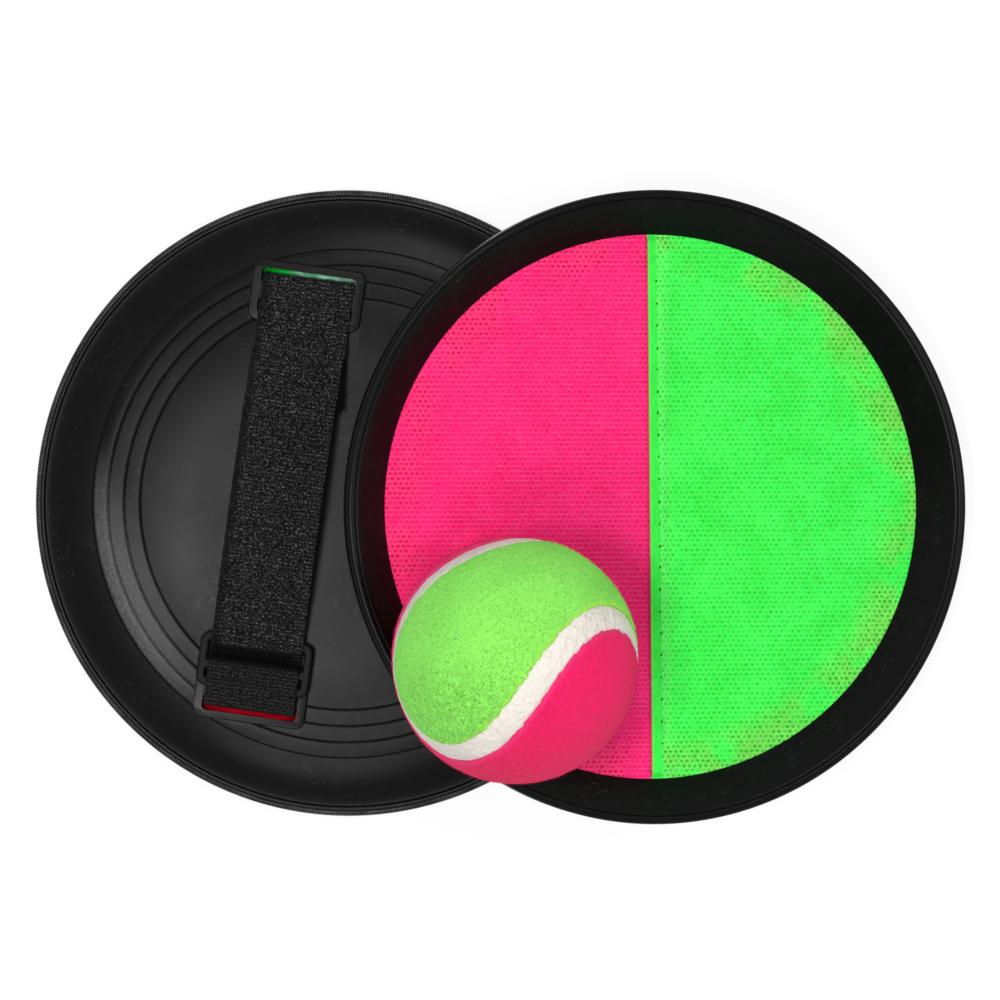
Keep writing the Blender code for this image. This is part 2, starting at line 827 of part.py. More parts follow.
def main():
    clear_scene()
    collection = bpy.data.collections.new("toss_and_catch_set")
    bpy.context.scene.collection.children.link(collection)
    left = make_paddle("left", STRAP_SLACK, collection)
    right = make_paddle("right", 0.0, collection)
    ball = bpy.data.objects.new("ball", None)
    collection.objects.link(ball)
    core = make_ball_core(collection)
    pink, green = make_felt_panels(collection)
    for piece, name in ((core, "white_rubber"), (green, "green_felt"), (pink, "pink_felt")):
        finish(piece, name)
        piece.parent = ball
    right_place = settle_right_paddle(left, right)
    left.matrix_world = left_matrix()
    right.matrix_world = right_place
    turn = Euler([math.radians(angle) for angle in BALL_TURN]).to_matrix().to_4x4()
    ball.matrix_world = Matrix.Translation(ball_place(right_place)) @ turn
    centre_on_origin((left, right, ball))


main()
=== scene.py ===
"""Toss and catch set: two round catch paddles with hand straps, lying one over the other, and a felt
ball caught on the upper one. Lengths are in millimetres and become metres where a mesh is made.

A paddle's own frame: Z runs from the lip's plane (0) to the back, Y along the hand strap to the green
end. The left paddle lies face down. The right one lies face up and leans on the left one's back.
"""
import math
from collections import Counter

import bmesh
import bpy
import numpy as np
from mathutils import Euler, Matrix, Vector, noise


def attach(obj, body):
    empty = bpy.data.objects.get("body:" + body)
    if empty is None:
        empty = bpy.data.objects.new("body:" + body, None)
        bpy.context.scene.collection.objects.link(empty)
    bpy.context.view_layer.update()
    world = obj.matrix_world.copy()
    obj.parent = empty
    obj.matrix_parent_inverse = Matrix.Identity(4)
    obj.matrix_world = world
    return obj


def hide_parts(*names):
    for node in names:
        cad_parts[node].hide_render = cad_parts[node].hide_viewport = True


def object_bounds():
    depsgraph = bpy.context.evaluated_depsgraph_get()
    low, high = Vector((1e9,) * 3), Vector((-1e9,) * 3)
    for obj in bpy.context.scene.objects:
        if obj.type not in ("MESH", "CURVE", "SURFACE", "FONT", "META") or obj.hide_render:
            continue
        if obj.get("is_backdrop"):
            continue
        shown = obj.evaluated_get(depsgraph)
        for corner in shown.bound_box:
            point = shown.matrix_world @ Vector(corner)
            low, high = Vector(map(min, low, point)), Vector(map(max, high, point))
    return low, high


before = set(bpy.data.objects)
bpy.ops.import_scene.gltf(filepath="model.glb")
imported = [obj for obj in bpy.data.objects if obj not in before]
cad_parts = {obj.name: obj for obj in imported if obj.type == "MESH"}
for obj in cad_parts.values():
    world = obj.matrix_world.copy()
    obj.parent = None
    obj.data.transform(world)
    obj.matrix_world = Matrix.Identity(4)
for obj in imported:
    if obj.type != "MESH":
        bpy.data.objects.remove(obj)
cad_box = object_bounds()

MM = 0.001
CLEARANCE = 0.3
BEYOND = -200.0
OWN_PLACE = "own_place"
FELT_DEPTH = "felt_depth"

# Paddle body
PADDLE_RADIUS = 87.5
BODY_DEPTH = 17.5
SHELL_WALL = 1.9
RIM_WALL = 1.4
RIM_DEPTH = 7.3
RIM_FLANGE = 1.2
PLATEAU_RADIUS = 70.7
TERRACES = 3
TERRACE_WIDTH = 4.55
TERRACE_RISE = 0.9
TERRACE_COVE = 0.9
PLATEAU_STEP = 0.6
EDGE_ROUND = 0.4
WALL_SWEEP = 70.0
SHELL_TURNS = 288
# The plateau's treads get a painted highlight toward this bearing.
TREAD_SHEEN_BEARING = 210.0
# The knurl teeth get a painted highlight outside this radius.
KNURL_GLINT_RADIUS = 86.05

# Front ring
LIP_ROUND = 1.5
LIP_LAND = 1.0
LIP_GROOVE = 0.26
SKIRT_WALL = 1.2
SKIRT_DEPTH = 6.5
RING_WALL = 1.6
RING_FOOT_DEPTH = 9.0
CLAMP_RIB_WIDTH = 1.6
RING_OPENING_RADIUS = 75.3
KNURLS = 810
KNURL_DEPTH = 0.24

# Catching fabric
FABRIC_FRONT = 9.3
FABRIC_THICKNESS = 1.0
FABRIC_RADIUS = 78.8
SEAM_OFFSET = -0.8
SEAM_LEAN = -0.0093
HEM_EDGE = 3.4
HEM_RAMP = 1.5
HEM_WIDTH = 2.6
HEM_LEAN = -0.0133
BACKING_BULGE = 6.0
ROW_PITCH = 1.33
ROW_HEIGHT = 0.16
HOOK_PITCH = 1.55
STITCH_PITCH = 6.07
THREAD_RADIUS = 0.15
HOLE_RADIUS = 0.28

# Strap anchors on the back shell
STRAP_OFFSET = -18.8
ANCHOR_REACH = 55.7
ANCHOR_BORDER = 2.1
ANCHOR_RISE = 0.8
ANCHOR_DEPTH = 5.0
ANCHOR_CORNER = 3.0
SLOT_LENGTH = 3.8
SLOT_CORNER = 1.2
CROSSBAR_WIDTH = 5.2
CROSSBAR_THICKNESS = 1.5
CROSSBAR_DROP = 0.6

# Webbing and slider
STRAP_WIDTH = 25.4
STRAP_THICKNESS = 1.1
STRAP_SIDE_PLAY = 0.6
STRAP_TAIL = 28.0
TAIL_DRIFT = 1.7
LEFT_SLACK = 7.0
RIGHT_SLACK = 0.0
STRAP_BEND = 1.2
STRAP_STEP = 0.55
SLIDER_THICKNESS = 2.0
SLIDER_BAR = 2.6
SLIDER_RAIL = 2.5
SLIDER_UPPER_WINDOW = 5.2
SLIDER_LOWER_WINDOW = 2.3
SLIDER_LAP = 8.0
SLIDER_CORNER = 2.8
SLIDER_EDGE_ROUND = 0.7

# Sizes that follow from those above
SLOT_WIDTH = STRAP_WIDTH + 2 * STRAP_SIDE_PLAY
SLOT_PITCH = CROSSBAR_WIDTH + SLOT_LENGTH
ANCHOR_LENGTH = 2 * (SLOT_LENGTH + ANCHOR_BORDER) + CROSSBAR_WIDTH
RIM_RADIUS = PADDLE_RADIUS - SKIRT_WALL - CLEARANCE
SLIDER_BOTTOM = ANCHOR_RISE + STRAP_THICKNESS + 2 * CLEARANCE
SLIDER_LENGTH = 3 * SLIDER_BAR + SLIDER_UPPER_WINDOW + SLIDER_LOWER_WINDOW
SLIDER_TOP = -(ANCHOR_REACH - ANCHOR_LENGTH / 2 + SLIDER_LAP - SLIDER_LENGTH)
WINDOW_TOP = SLIDER_TOP - SLIDER_BAR
WINDOW_END = WINDOW_TOP - SLIDER_UPPER_WINDOW

# Ball
BALL_RADIUS = 33.5
FELT_THICKNESS = 1.0
SEAM_BAND_WIDTH = 7.3
SEAM_BAND_RECESS = 0.3
SEAM_SHARE = 0.247
SEAM_STEPS = 1440
NET_DETAIL = 7
FELT_ROUNDING = 0.55
# Direction of the ball's side where the felt gets painted shade.
FELT_SHADED_SIDE = (-0.28, -0.66, 0.70)
FIBRES = 15000

# Places on the surface
LEFT_PLACE = Matrix.Translation((-42.20 * MM, 0.44 * MM, 0.0)) @ Matrix.Rotation(math.radians(-8.0), 4, "Z")
RIGHT_TILT = math.radians(12.791)
FACE_UP = Matrix(((0, 1, 0, 0), (1, 0, 0, 0), (0, 0, -1, 0), (0, 0, 0, 1)))
RIGHT_PLACE = (
    Matrix.Translation((44.90 * MM, -0.26 * MM, 31.97 * MM)) @ Matrix.Rotation(RIGHT_TILT, 4, "Y") @ FACE_UP
)
BALL_TURN = Euler([math.radians(angle) for angle in (-134.1, 69.3, 101.7)]).to_matrix().to_4x4()
BALL_PLACE = Matrix.Translation((6.03 * MM, -41.16 * MM, 65.92 * MM)) @ BALL_TURN

# Camera and floor: the photograph's frame is square
CAMERA_HEIGHT = 2.0
CAMERA_LEAN = (1.5, 0.8)
CAMERA_AIM = (0.15 * MM, 1.30 * MM)
CAMERA_LENS = 257.1
FLOOR_REACH = 6.0


# Shader values

def put(tree, kind, inputs=None, **settings):
    """Add a node. Inputs are given by name or number, as plain values or as fields."""
    made = tree.nodes.new(kind)
    for name, value in settings.items():
        setattr(made, name, value)
    for name, value in (inputs or {}).items():
        if isinstance(value, Field):
            tree.links.new(value.socket, made.inputs[name])
        else:
            made.inputs[name].default_value = value
    return made


def worked(tree, kind, inputs=None, output=0, **settings):
    """Add a node and give one of its outputs as a field."""
    return Field(put(tree, kind, inputs, **settings).outputs[output])


class Field:
    """A value that a shader tree works out at each point. Arithmetic on it adds the nodes."""

    def __init__(self, socket):
        self.socket = socket
        self.tree = socket.id_data

    def calc(self, operation, *others):
        return worked(self.tree, "ShaderNodeMath", dict(enumerate((self, *others))), operation=operation)

    def __add__(self, other):
        return self.calc("ADD", other)

    def __sub__(self, other):
        return self.calc("SUBTRACT", other)

    def __mul__(self, other):
        return self.calc("MULTIPLY", other)

    def __rsub__(self, other):
        return self * -1.0 + other

    def __getitem__(self, axis):
        return worked(self.tree, "ShaderNodeSeparateXYZ", {0: self}, axis)

    def clamped(self):
        self.socket.node.use_clamp = True
        return self

    def ramp(self, low, high, start=0.0, end=1.0):
        """A smooth step from start to end while the value goes from low to high."""
        inputs = {"Value": self, "From Min": low, "From Max": high, "To Min": start, "To Max": end}
        return worked(self.tree, "ShaderNodeMapRange", inputs, interpolation_type="SMOOTHSTEP")

    def vector(self, operation, other, output="Vector"):
        return worked(self.tree, "ShaderNodeVectorMath", {0: self, 1: other}, output, operation=operation)

    def stretched(self, *scales):
        return self.vector("MULTIPLY", scales)

    def flat_radius(self):
        return self.stretched(1.0, 1.0, 0.0).vector("LENGTH", (0.0, 0.0, 0.0), "Value")

    def noise(self, scale, detail=2.0, rough=0.5, output="Fac"):
        inputs = {"Vector": self, "Scale": scale, "Detail": detail, "Roughness": rough}
        return worked(self.tree, "ShaderNodeTexNoise", inputs, output)


def largest(first, *others):
    for other in others:
        first = first.calc("MAXIMUM", other)
    return first


def layered(colour, *layers):
    """A colour with others laid over it, each by its share."""
    for over, share in layers:
        inputs = {0: share}
        for socket, value in ((6, colour), (7, over)):
            inputs[socket] = value if isinstance(value, Field) else (*value, 1.0)
        colour = worked(share.tree, "ShaderNodeMix", inputs, 2, data_type="RGBA")
    return colour


def moulding_group(given):
    """Moulded plastic: fine grain, slow gloss changes and faint scuffs."""
    place = given["Vector"]
    patches = place.noise(0.06).ramp(0.53, 0.72)
    marks = [
        place.stretched(*scales).noise(1.0).ramp(0.66, 0.74)
        for scales in ((0.30, 3.4, 1.0), (2.6, 0.22, 1.0), (1.3, 1.5, 1.0))
    ]
    return {
        "Grain": place.noise(5.5, 3.0, 0.6) * given["Grain"],
        "Clouds": place.noise(0.045, 3.0),
        "Scuffs": (largest(*marks) * patches * given["Scuffs"]).clamped(),
    }


def rows_group(given):
    """Hook fabric: raised rows along Y with a small opening between hooks, more open near the rim,
    and a plain folded hem beside the seam. Near the rim a patchy, browner band of painted shade is laid on."""
    place = given["Vector"]
    side, forth = place[0], place[1]
    jitter = place.noise(1.0)
    across = side.calc("DIVIDE", given["Row Pitch"]) + (jitter * 0.16 + 0.42)
    along = forth.calc("DIVIDE", given["Hook Pitch"]) + jitter * 1.1 + across.calc("FLOOR") * 0.5
    from_valley, from_gap = ((count.calc("FRACT") - 0.5).calc("ABSOLUTE") for count in (across, along))
    openings = (from_valley * from_valley + from_gap * from_gap).calc("SQRT").ramp(0.16, 0.40, 1.0, 0.0)
    past_hem = forth - (side * HEM_LEAN + given["Hem Line"])
    outside = past_hem.ramp(-0.2, 0.3)
    # Painted shade: a patchy band near the rim, where the openings are also drawn darker.
    rim_shade = place.flat_radius().ramp(62.0, 73.0) * (place.noise(0.06).ramp(0.40, 0.56) * outside)
    depth = (rim_shade * 0.6 + given["Openness"]) * (outside * jitter.ramp(0.38, 0.60, 0.30, 1.0))
    broken = place.stretched(1.4, 0.5, 1.0).noise(1.0).ramp(0.40, 0.62, 0.1, 1.0)
    second = from_valley.ramp(0.12, 0.0) * (0.9 - openings)
    seam = side * SEAM_LEAN + (given["Hem Line"] - HEM_WIDTH)
    return {
        "Openings": (openings * depth).clamped(),
        "Threads": largest(from_valley.ramp(0.30, 0.48) * broken, second * broken) * outside,
        "Clouds": place.noise(0.09, 3.0),
        "Worn": rim_shade,
        "Hem": 1.0 - outside,
        "Beside Hem": outside * past_hem.ramp(1.5, 4.5, 1.0, 0.0),
        "Fold": (forth - seam).ramp(0.55, 0.1),
    }


def pile_group(given):
    """A mat of short fibres: strands that cross at random, small gaps and slow matting."""
    place = given["Vector"].vector("MULTIPLY", given["Fibre Scale"])
    place = place.vector("ADD", place.noise(0.7, 1.0, output="Color"))
    strands = [
        place.stretched(*scales).noise(0.9, 1.0)
        for scales in ((1.2, 5.0, 4.0), (5.0, 1.2, 4.0), (4.0, 5.0, 1.2))
    ]
    return {
        "Strands": largest(*strands).ramp(0.50, 0.74),
        "Gaps": place.noise(1.5, 2.0, 0.6).ramp(0.44, 0.30),
        "Matting": given["Vector"].noise(0.07, 3.0, 0.6).ramp(0.35, 0.7),
    }


def new_group(name, build, numbers):
    """A shader node group. build turns its input fields into its output fields, both by name."""
    tree = bpy.data.node_groups.new(name, "ShaderNodeTree")
    tree.interface.new_socket("Vector", in_out="INPUT", socket_type="NodeSocketVector")
    for socket_name, value in numbers.items():
        socket = tree.interface.new_socket(socket_name, in_out="INPUT", socket_type="NodeSocketFloat")
        socket.default_value = value
    start = tree.nodes.new("NodeGroupInput")
    results = build({key: Field(start.outputs[key]) for key in ("Vector", *numbers)})
    for socket_name in results:
        tree.interface.new_socket(socket_name, in_out="OUTPUT", socket_type="NodeSocketFloat")
    put(tree, "NodeGroupOutput", results)
    return tree


GROUPS = {}


def grouped(name, place, numbers):
    made = put(place.tree, "ShaderNodeGroup", {"Vector": place, **numbers}, node_tree=GROUPS[name])
    return {socket.name: Field(socket) for socket in made.outputs}


def new_material(name, roughness, specular, sheen=0.0, sheen_roughness=0.5):
    """A material, its shader and its own-frame place in millimetres."""
    made = bpy.data.materials.new(name)
    made.use_nodes = True
    shader = made.node_tree.nodes["Principled BSDF"]
    shader.inputs["Roughness"].default_value = roughness
    shader.inputs["Specular IOR Level"].default_value = specular
    shader.inputs["Sheen Weight"].default_value = sheen
    shader.inputs["Sheen Roughness"].default_value = sheen_roughness
    place = worked(made.node_tree, "ShaderNodeAttribute", output="Vector", attribute_name=OWN_PLACE)
    return made, shader, place


def feed(shader, colour, height=None, distance=0.0, strength=1.0):
    """Feed the shader a colour, and a height through a Bump node with its distance in millimetres."""
    links = colour.tree.links
    links.new(colour.socket, shader.inputs["Base Color"])
    if height:
        inputs = {"Height": height, "Distance": distance * MM, "Strength": strength}
        links.new(put(colour.tree, "ShaderNodeBump", inputs).outputs["Normal"], shader.inputs["Normal"])


def knurl_glints(place):
    """A mask of the knurled edge: painted highlight on the teeth, in uneven patches, with dark gaps between
    them.
    """
    tooth = (place[1].calc("ARCTAN2", place[0]) * KNURLS).calc("SINE").ramp(-0.5, 0.6)
    glint_patches = place.noise(0.12, 3.0, 0.6).ramp(0.35, 0.65, 0.3, 1.0)
    outer = place.flat_radius().ramp(KNURL_GLINT_RADIUS, KNURL_GLINT_RADIUS + 0.15)
    return outer * place[2].ramp(3.5, 5.0) * (tooth * glint_patches)


def tread_sheen(place):
    """A grained mask of the plateau's treads toward one bearing: a painted highlight, broken up by a scuffed
    grain.
    """
    turn = math.radians(TREAD_SHEEN_BEARING)
    reach = place.vector("DOT_PRODUCT", (math.cos(turn), math.sin(turn), 0.0), "Value")
    inside = place.flat_radius().ramp(PLATEAU_RADIUS, PLATEAU_RADIUS - 1.0)
    return reach.ramp(54.0, 69.0) * inside * place.noise(1.4, 4.0, 0.7).ramp(0.36, 0.64, 0.5, 1.0)


def plastic_material(name, base, roughness, scuffs):
    made, shader, place = new_material(name, roughness, 0.08)
    looks = grouped("moulding", place, {"Grain": 1.0, "Scuffs": scuffs})
    stains = place.noise(0.42, 4.0, 0.7).ramp(0.50, 0.72) * looks["Clouds"].ramp(0.46, 0.62)
    colour = layered(base, ((0.05, 0.05, 0.052), largest(looks["Scuffs"], stains * 0.12)))
    if scuffs > 0.5:
        # Painted highlight on the knurled teeth.
        knurl_highlight = ((0.10, 0.10, 0.102), knurl_glints(place))
        # Painted highlight on the treads toward one bearing, with a scuffed grain.
        colour = layered(colour, knurl_highlight, ((0.095, 0.091, 0.092), tread_sheen(place)))
    gloss = looks["Clouds"] * 0.16 + (roughness - 0.08)
    gloss = gloss + looks["Grain"] * 0.06 + looks["Scuffs"] * 0.2 - stains * 0.07
    place.tree.links.new(gloss.socket, shader.inputs["Roughness"])
    feed(shader, colour, looks["Grain"], 0.03, 0.5)
    return made


def hook_material(name, base, dark, light, rim_shade, openness, hem_line=BEYOND):
    made, shader, place = new_material(name, 0.8, 0.08, 0.05)
    numbers = {"Row Pitch": ROW_PITCH, "Hook Pitch": HOOK_PITCH, "Openness": openness, "Hem Line": hem_line}
    looks = grouped("rows", place, numbers)
    # Painted shade in streaky creases on the hem.
    crease_shade = place.stretched(0.4, 5.0, 1.0).noise(1.0).ramp(0.35, 0.65, 0.1, 0.5)
    colour = layered(
        base,
        (dark, looks["Clouds"].ramp(0.3, 0.7, 0.0, 0.3)),
        (light, looks["Threads"] * 0.55),
        (light, looks["Beside Hem"] * 0.45),
        # Painted shade near the rim, in a browner tint.
        (rim_shade, looks["Worn"] * 0.45),
        (dark, looks["Hem"] * crease_shade),
        # The seam's fold edge takes the same browner tint.
        (rim_shade, looks["Fold"] * 0.8),
        (dark, looks["Openings"]),
    )
    feed(shader, colour, looks["Threads"] - looks["Openings"] * 1.4, 0.14)
    return made


def backing_material(name, base, dark, patch, patch_from=BEYOND):
    """The woven back of the fabric: fine crossing threads with slow patches."""
    made, shader, place = new_material(name, 0.8, 0.1)
    looks = grouped("pile", place, {"Fibre Scale": 1.4})
    paler = place[0].ramp(patch_from, patch_from + 6.0) * 0.85 * looks["Matting"].ramp(0.0, 0.3, 0.45, 1.0)
    feed(shader, layered(dark, (base, looks["Strands"]), (patch, paler)), looks["Strands"], 0.2)
    return made


def felt_material(name, base, light, dark, edge):
    made, shader, place = new_material(name, 0.9, 0.03, 0.12, 0.35)
    looks = grouped("pile", place, {"Fibre Scale": 1.0})
    # Painted shade: the felt's clumps and gaps are darker and denser toward one side of the ball.
    shaded_side = BALL_TURN.to_3x3().inverted() @ Vector(FELT_SHADED_SIDE)
    side = place.vector("DOT_PRODUCT", shaded_side, "Value")
    shaded = side.ramp(BALL_RADIUS * 0.62, BALL_RADIUS * 0.98)
    clumps = place.noise(0.5, 3.0, 0.6).ramp(0.38, 0.60) * (shaded * 0.45 + 0.08)
    inside = worked(place.tree, "ShaderNodeAttribute", output="Fac", attribute_name=FELT_DEPTH)
    colour = layered(
        base,
        (dark, looks["Matting"] * 0.2),
        (dark, clumps),
        (light, looks["Strands"] * 0.8),
        (dark, looks["Gaps"] * (shaded * 0.4 + 0.45)),
        (edge, (inside + looks["Strands"] * 0.5).ramp(0.3, 1.3, 0.6, 0.0)),
    )
    feed(shader, colour, looks["Strands"] - looks["Gaps"], 0.13)
    return made


def rubber_material():
    """The ball's off-white seam band: smooth, with shallow wrinkles and pores."""
    made, shader, place = new_material("seam_band_rubber", 0.5, 0.2)
    looks = grouped("moulding", place, {"Grain": 0.5, "Scuffs": 0.6})
    clouds = ((0.78, 0.72, 0.65), looks["Clouds"].ramp(0.35, 0.7))
    colour = layered((0.86, 0.80, 0.73), clouds, ((0.66, 0.61, 0.55), looks["Scuffs"]))
    folds = place.stretched(0.45, 0.6, 0.52).noise(1.0, 4.0, 0.6)
    feed(shader, colour, looks["Grain"] * 0.1 + folds, 1.3, 0.9)
    return made


def looped_material():
    """The webbing's outer face: a dense mat of small dark loops, some of which catch the light."""
    made, shader, place = new_material("looped_webbing", 0.7, 0.05, 0.02)
    looks = grouped("pile", place, {"Fibre Scale": 1.2})
    wave = (place[1] * (2.0 * math.pi / 1.1)).calc("SINE")
    side = place[0] - STRAP_OFFSET
    speckle = place.noise(2.3, 2.0, 0.65).ramp(0.52, 0.62) * side.ramp(-12.2, -9.5, 0.25, 1.0)
    # Painted shade: no glints from where the strap turns down into the slider's upper window onwards, toward
    # the lower anchor.
    speckle = speckle * place[1].ramp(WINDOW_TOP - 1.2, WINDOW_TOP + 0.3)
    glints = speckle * wave.ramp(-0.5, 0.7, 0.45, 1.0) * looks["Strands"].ramp(0.0, 0.7, 0.3, 1.0)
    ribs = side.ramp(9.8, 11.2) * wave.ramp(0.1, 0.9, 0.0, 0.3) * looks["Strands"].ramp(0.1, 0.8, 0.1, 0.8)
    lit = ((0.33, 0.33, 0.332), largest(glints, ribs))
    colour = layered((0.002, 0.002, 0.0022), lit, ((0.0015, 0.0015, 0.0015), looks["Gaps"]))
    feed(shader, colour, looks["Strands"] - looks["Gaps"], 0.3)
    return made


def ribbed_material():
    """The webbing's inner face: fine ribs across the strap in a plain weave."""
    made, shader, place = new_material("ribbed_webbing", 0.7, 0.05)
    looks = grouped("pile", place, {"Fibre Scale": 1.8})
    rib = (place[1] * (2.0 * math.pi / 1.05) + place.noise(1.3) * 3.0).calc("SINE")
    weave = (rib * 0.35 + 0.6) * place.stretched(1.0, 2.0, 1.0).noise(2.0).ramp(0.46, 0.58)
    shade = weave * (looks["Strands"] * 0.6 + 0.4)
    # Painted shade: the ribbed face fades to black where the lap turns down into the slider's upper window,
    # and stays black beyond it.
    shade = shade * place[1].ramp(WINDOW_END - 1.2, WINDOW_END + 0.3, 1.0, 0.0)
    colour = layered((0.0015, 0.0015, 0.0016), ((0.085, 0.085, 0.086), shade))
    feed(shader, colour, rib * 0.4 + weave, 0.12)
    return made


def thread_material():
    made, shader, place = new_material("hem_thread", 0.7, 0.15)
    strands = grouped("pile", place, {"Fibre Scale": 2.5})["Strands"]
    feed(shader, layered((0.05, 0.70, 0.05), ((0.22, 0.95, 0.20), strands)))
    return made


def hole_material():
    made, shader, place = new_material("needle_hole", 0.9, 0.05)
    feed(shader, layered((0.03, 0.05, 0.01), ((0.12, 0.05, 0.02), place.noise(3.0))))
    return made


def make_materials():
    GROUPS["moulding"] = new_group("moulded_surface", moulding_group, {"Grain": 1.0, "Scuffs": 1.0})
    numbers = {"Row Pitch": ROW_PITCH, "Hook Pitch": HOOK_PITCH, "Openness": 0.5, "Hem Line": BEYOND}
    GROUPS["rows"] = new_group("hook_rows", rows_group, numbers)
    GROUPS["pile"] = new_group("fibre_pile", pile_group, {"Fibre Scale": 1.0})
    return {
        "body": plastic_material("body_plastic", (0.0022, 0.0022, 0.0023), 0.24, 1.0),
        "slider": plastic_material("slider_plastic", (0.004, 0.004, 0.0042), 0.42, 0.3),
        "pink_hooks": hook_material(
            "pink_hook_fabric",
            (1.0, 0.024, 0.20), (0.72, 0.0, 0.08), (1.0, 0.13, 0.34), (1.0, 0.06, 0.18), 0.65
        ),
        "green_hooks": hook_material(
            "green_hook_fabric",
            (0.058, 0.98, 0.10), (0.010, 0.50, 0.02), (0.17, 1.0, 0.17), (0.34, 0.56, 0.11), 0.7,
            SEAM_OFFSET + HEM_WIDTH
        ),
        "pink_back": backing_material(
            "pink_backing", (1.0, 0.008, 0.025), (0.7, 0.0, 0.006), (1.0, 0.0, 0.015)
        ),
        "green_back": backing_material(
            "green_backing", (0.01, 1.0, 0.09), (0.0, 0.6, 0.03), (0.60, 1.0, 0.85), STRAP_OFFSET - 7.0
        ),
        "green_felt": felt_material(
            "green_felt", (0.28, 1.0, 0.12), (0.45, 1.0, 0.24), (0.06, 0.40, 0.01), (0.45, 0.95, 0.07)
        ),
        "pink_felt": felt_material(
            "pink_felt", (1.0, 0.008, 0.12), (1.0, 0.04, 0.22), (0.85, 0.0, 0.05), (1.0, 0.06, 0.27)
        ),
        "rubber": rubber_material(),
        "loops": looped_material(),
        "ribs": ribbed_material(),
        "thread": thread_material(),
        "hole": hole_material(),
    }


# Mesh helpers

def mesh_of(name, points, faces, finishes, face_finish=None, sharp=38.0):
    """A smooth-shaded mesh from points in millimetres."""
    mesh = bpy.data.meshes.new(name)
    places = np.asarray(points, float) * MM
    mesh.from_pydata(places.tolist(), [], faces)
    finished(mesh, finishes, sharp)
    if face_finish is not None:
        mesh.polygons.foreach_set("material_index", np.asarray(face_finish, np.int32))
    mesh.update()
    return mesh


def finished(mesh, finishes, sharp):
    mesh.materials.clear()
    for finish in finishes:
        mesh.materials.append(finish)
    mesh.shade_smooth()
    mesh.set_sharp_from_angle(angle=math.radians(sharp))
    return mesh


def placed(name, data):
    made = bpy.data.objects.new(name, data)
    bpy.context.scene.collection.objects.link(made)
    return made


def piece(name, mesh, place, replaced=()):
    """Put a copy of a mesh in the scene as a piece of the set. Each point keeps its own-frame place,
    in millimetres, for the materials."""
    mesh = mesh.copy()
    mesh.name = name
    own = mesh.attributes.new(OWN_PLACE, "FLOAT_VECTOR", "POINT")
    values = np.empty(len(mesh.vertices) * 3, np.float32)
    mesh.vertices.foreach_get("co", values)
    own.data.foreach_set("vector", values / MM)
    mesh.transform(place)
    made = placed(name, mesh)
    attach(made, "root")
    if replaced:
        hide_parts(*replaced)
    return made


def baked(obj):
    """The mesh of an object with its modifiers applied. The object is removed."""
    bpy.context.view_layer.update()
    evaluated = obj.evaluated_get(bpy.context.evaluated_depsgraph_get())
    mesh = bpy.data.meshes.new_from_object(evaluated)
    mesh.transform(obj.matrix_world)
    bpy.data.objects.remove(obj, do_unlink=True)
    return mesh


def combined(mesh, tool, operation):
    """Join a mesh with a tool mesh, or cut the tool out of it."""
    target = placed("target", mesh)
    cutter = placed("tool", tool)
    step = target.modifiers.new("combine", "BOOLEAN")
    step.operation = operation
    step.solver = "EXACT"
    step.object = cutter
    result = baked(target)
    bpy.data.objects.remove(cutter, do_unlink=True)
    return result


def arc(centre, radii, start, end, steps):
    angles = np.radians(np.linspace(start, end, steps + 1))
    return [(centre[0] + radii[0] * math.cos(a), centre[1] + radii[1] * math.sin(a)) for a in angles]


def quads(first, second):
    """Faces between two closed rings of point numbers. Numbers that are the same become one corner."""
    corners = zip(first, first[1:] + first[:1], second[1:] + second[:1], second)
    return [tuple(dict.fromkeys(numbers)) for numbers in corners]


def skin(sides, count):
    """The faces of a closed tube, made of count rings of points."""
    rings = [list(range(index * sides, (index + 1) * sides)) for index in range(count)]
    faces = [face for first, second in zip(rings, rings[1:]) for face in quads(first, second)]
    return faces + [tuple(rings[0][::-1]), tuple(rings[-1])]


def turned(profile, turns, closed, shift=None):
    """Points and quads of a profile turned about Z. A point on the axis becomes one vertex.
    shift(angles, index) gives (radius, height) changes of one profile point round the turn."""
    angles = np.linspace(0.0, 2.0 * math.pi, turns, endpoint=False)
    points = []
    rings = []
    for index, (radius, height) in enumerate(profile):
        if radius < 1e-6:
            rings.append([len(points)] * turns)
            points.append((0.0, 0.0, height))
            continue
        grow, lift = shift(angles, index) if shift else (0.0, 0.0)
        rings.append(list(range(len(points), len(points) + turns)))
        radii = radius + grow + np.zeros(turns)
        heights = height + lift + np.zeros(turns)
        points += np.column_stack((radii * np.cos(angles), radii * np.sin(angles), heights)).tolist()
    pairs = list(zip(rings, rings[1:]))
    if closed:
        pairs.append((rings[-1], rings[0]))
    return points, [face for first, second in pairs for face in quads(first, second)]


def tidy_mesh(mesh, merged=True):
    shape = bmesh.new()
    shape.from_mesh(mesh)
    if merged:
        bmesh.ops.remove_doubles(shape, verts=shape.verts, dist=1e-7)
    bmesh.ops.recalc_face_normals(shape, faces=shape.faces)
    shape.to_mesh(mesh)
    shape.free()
    return mesh


def rounded_rectangle(width, length, radius, centre=(0.0, 0.0)):
    outline = []
    for side_x, side_y, start in ((1, 1, 0), (-1, 1, 90), (-1, -1, 180), (1, -1, 270)):
        corner = (centre[0] + side_x * (width / 2 - radius), centre[1] + side_y * (length / 2 - radius))
        outline += arc(corner, (radius, radius), start, start + 90, 8)
    return outline


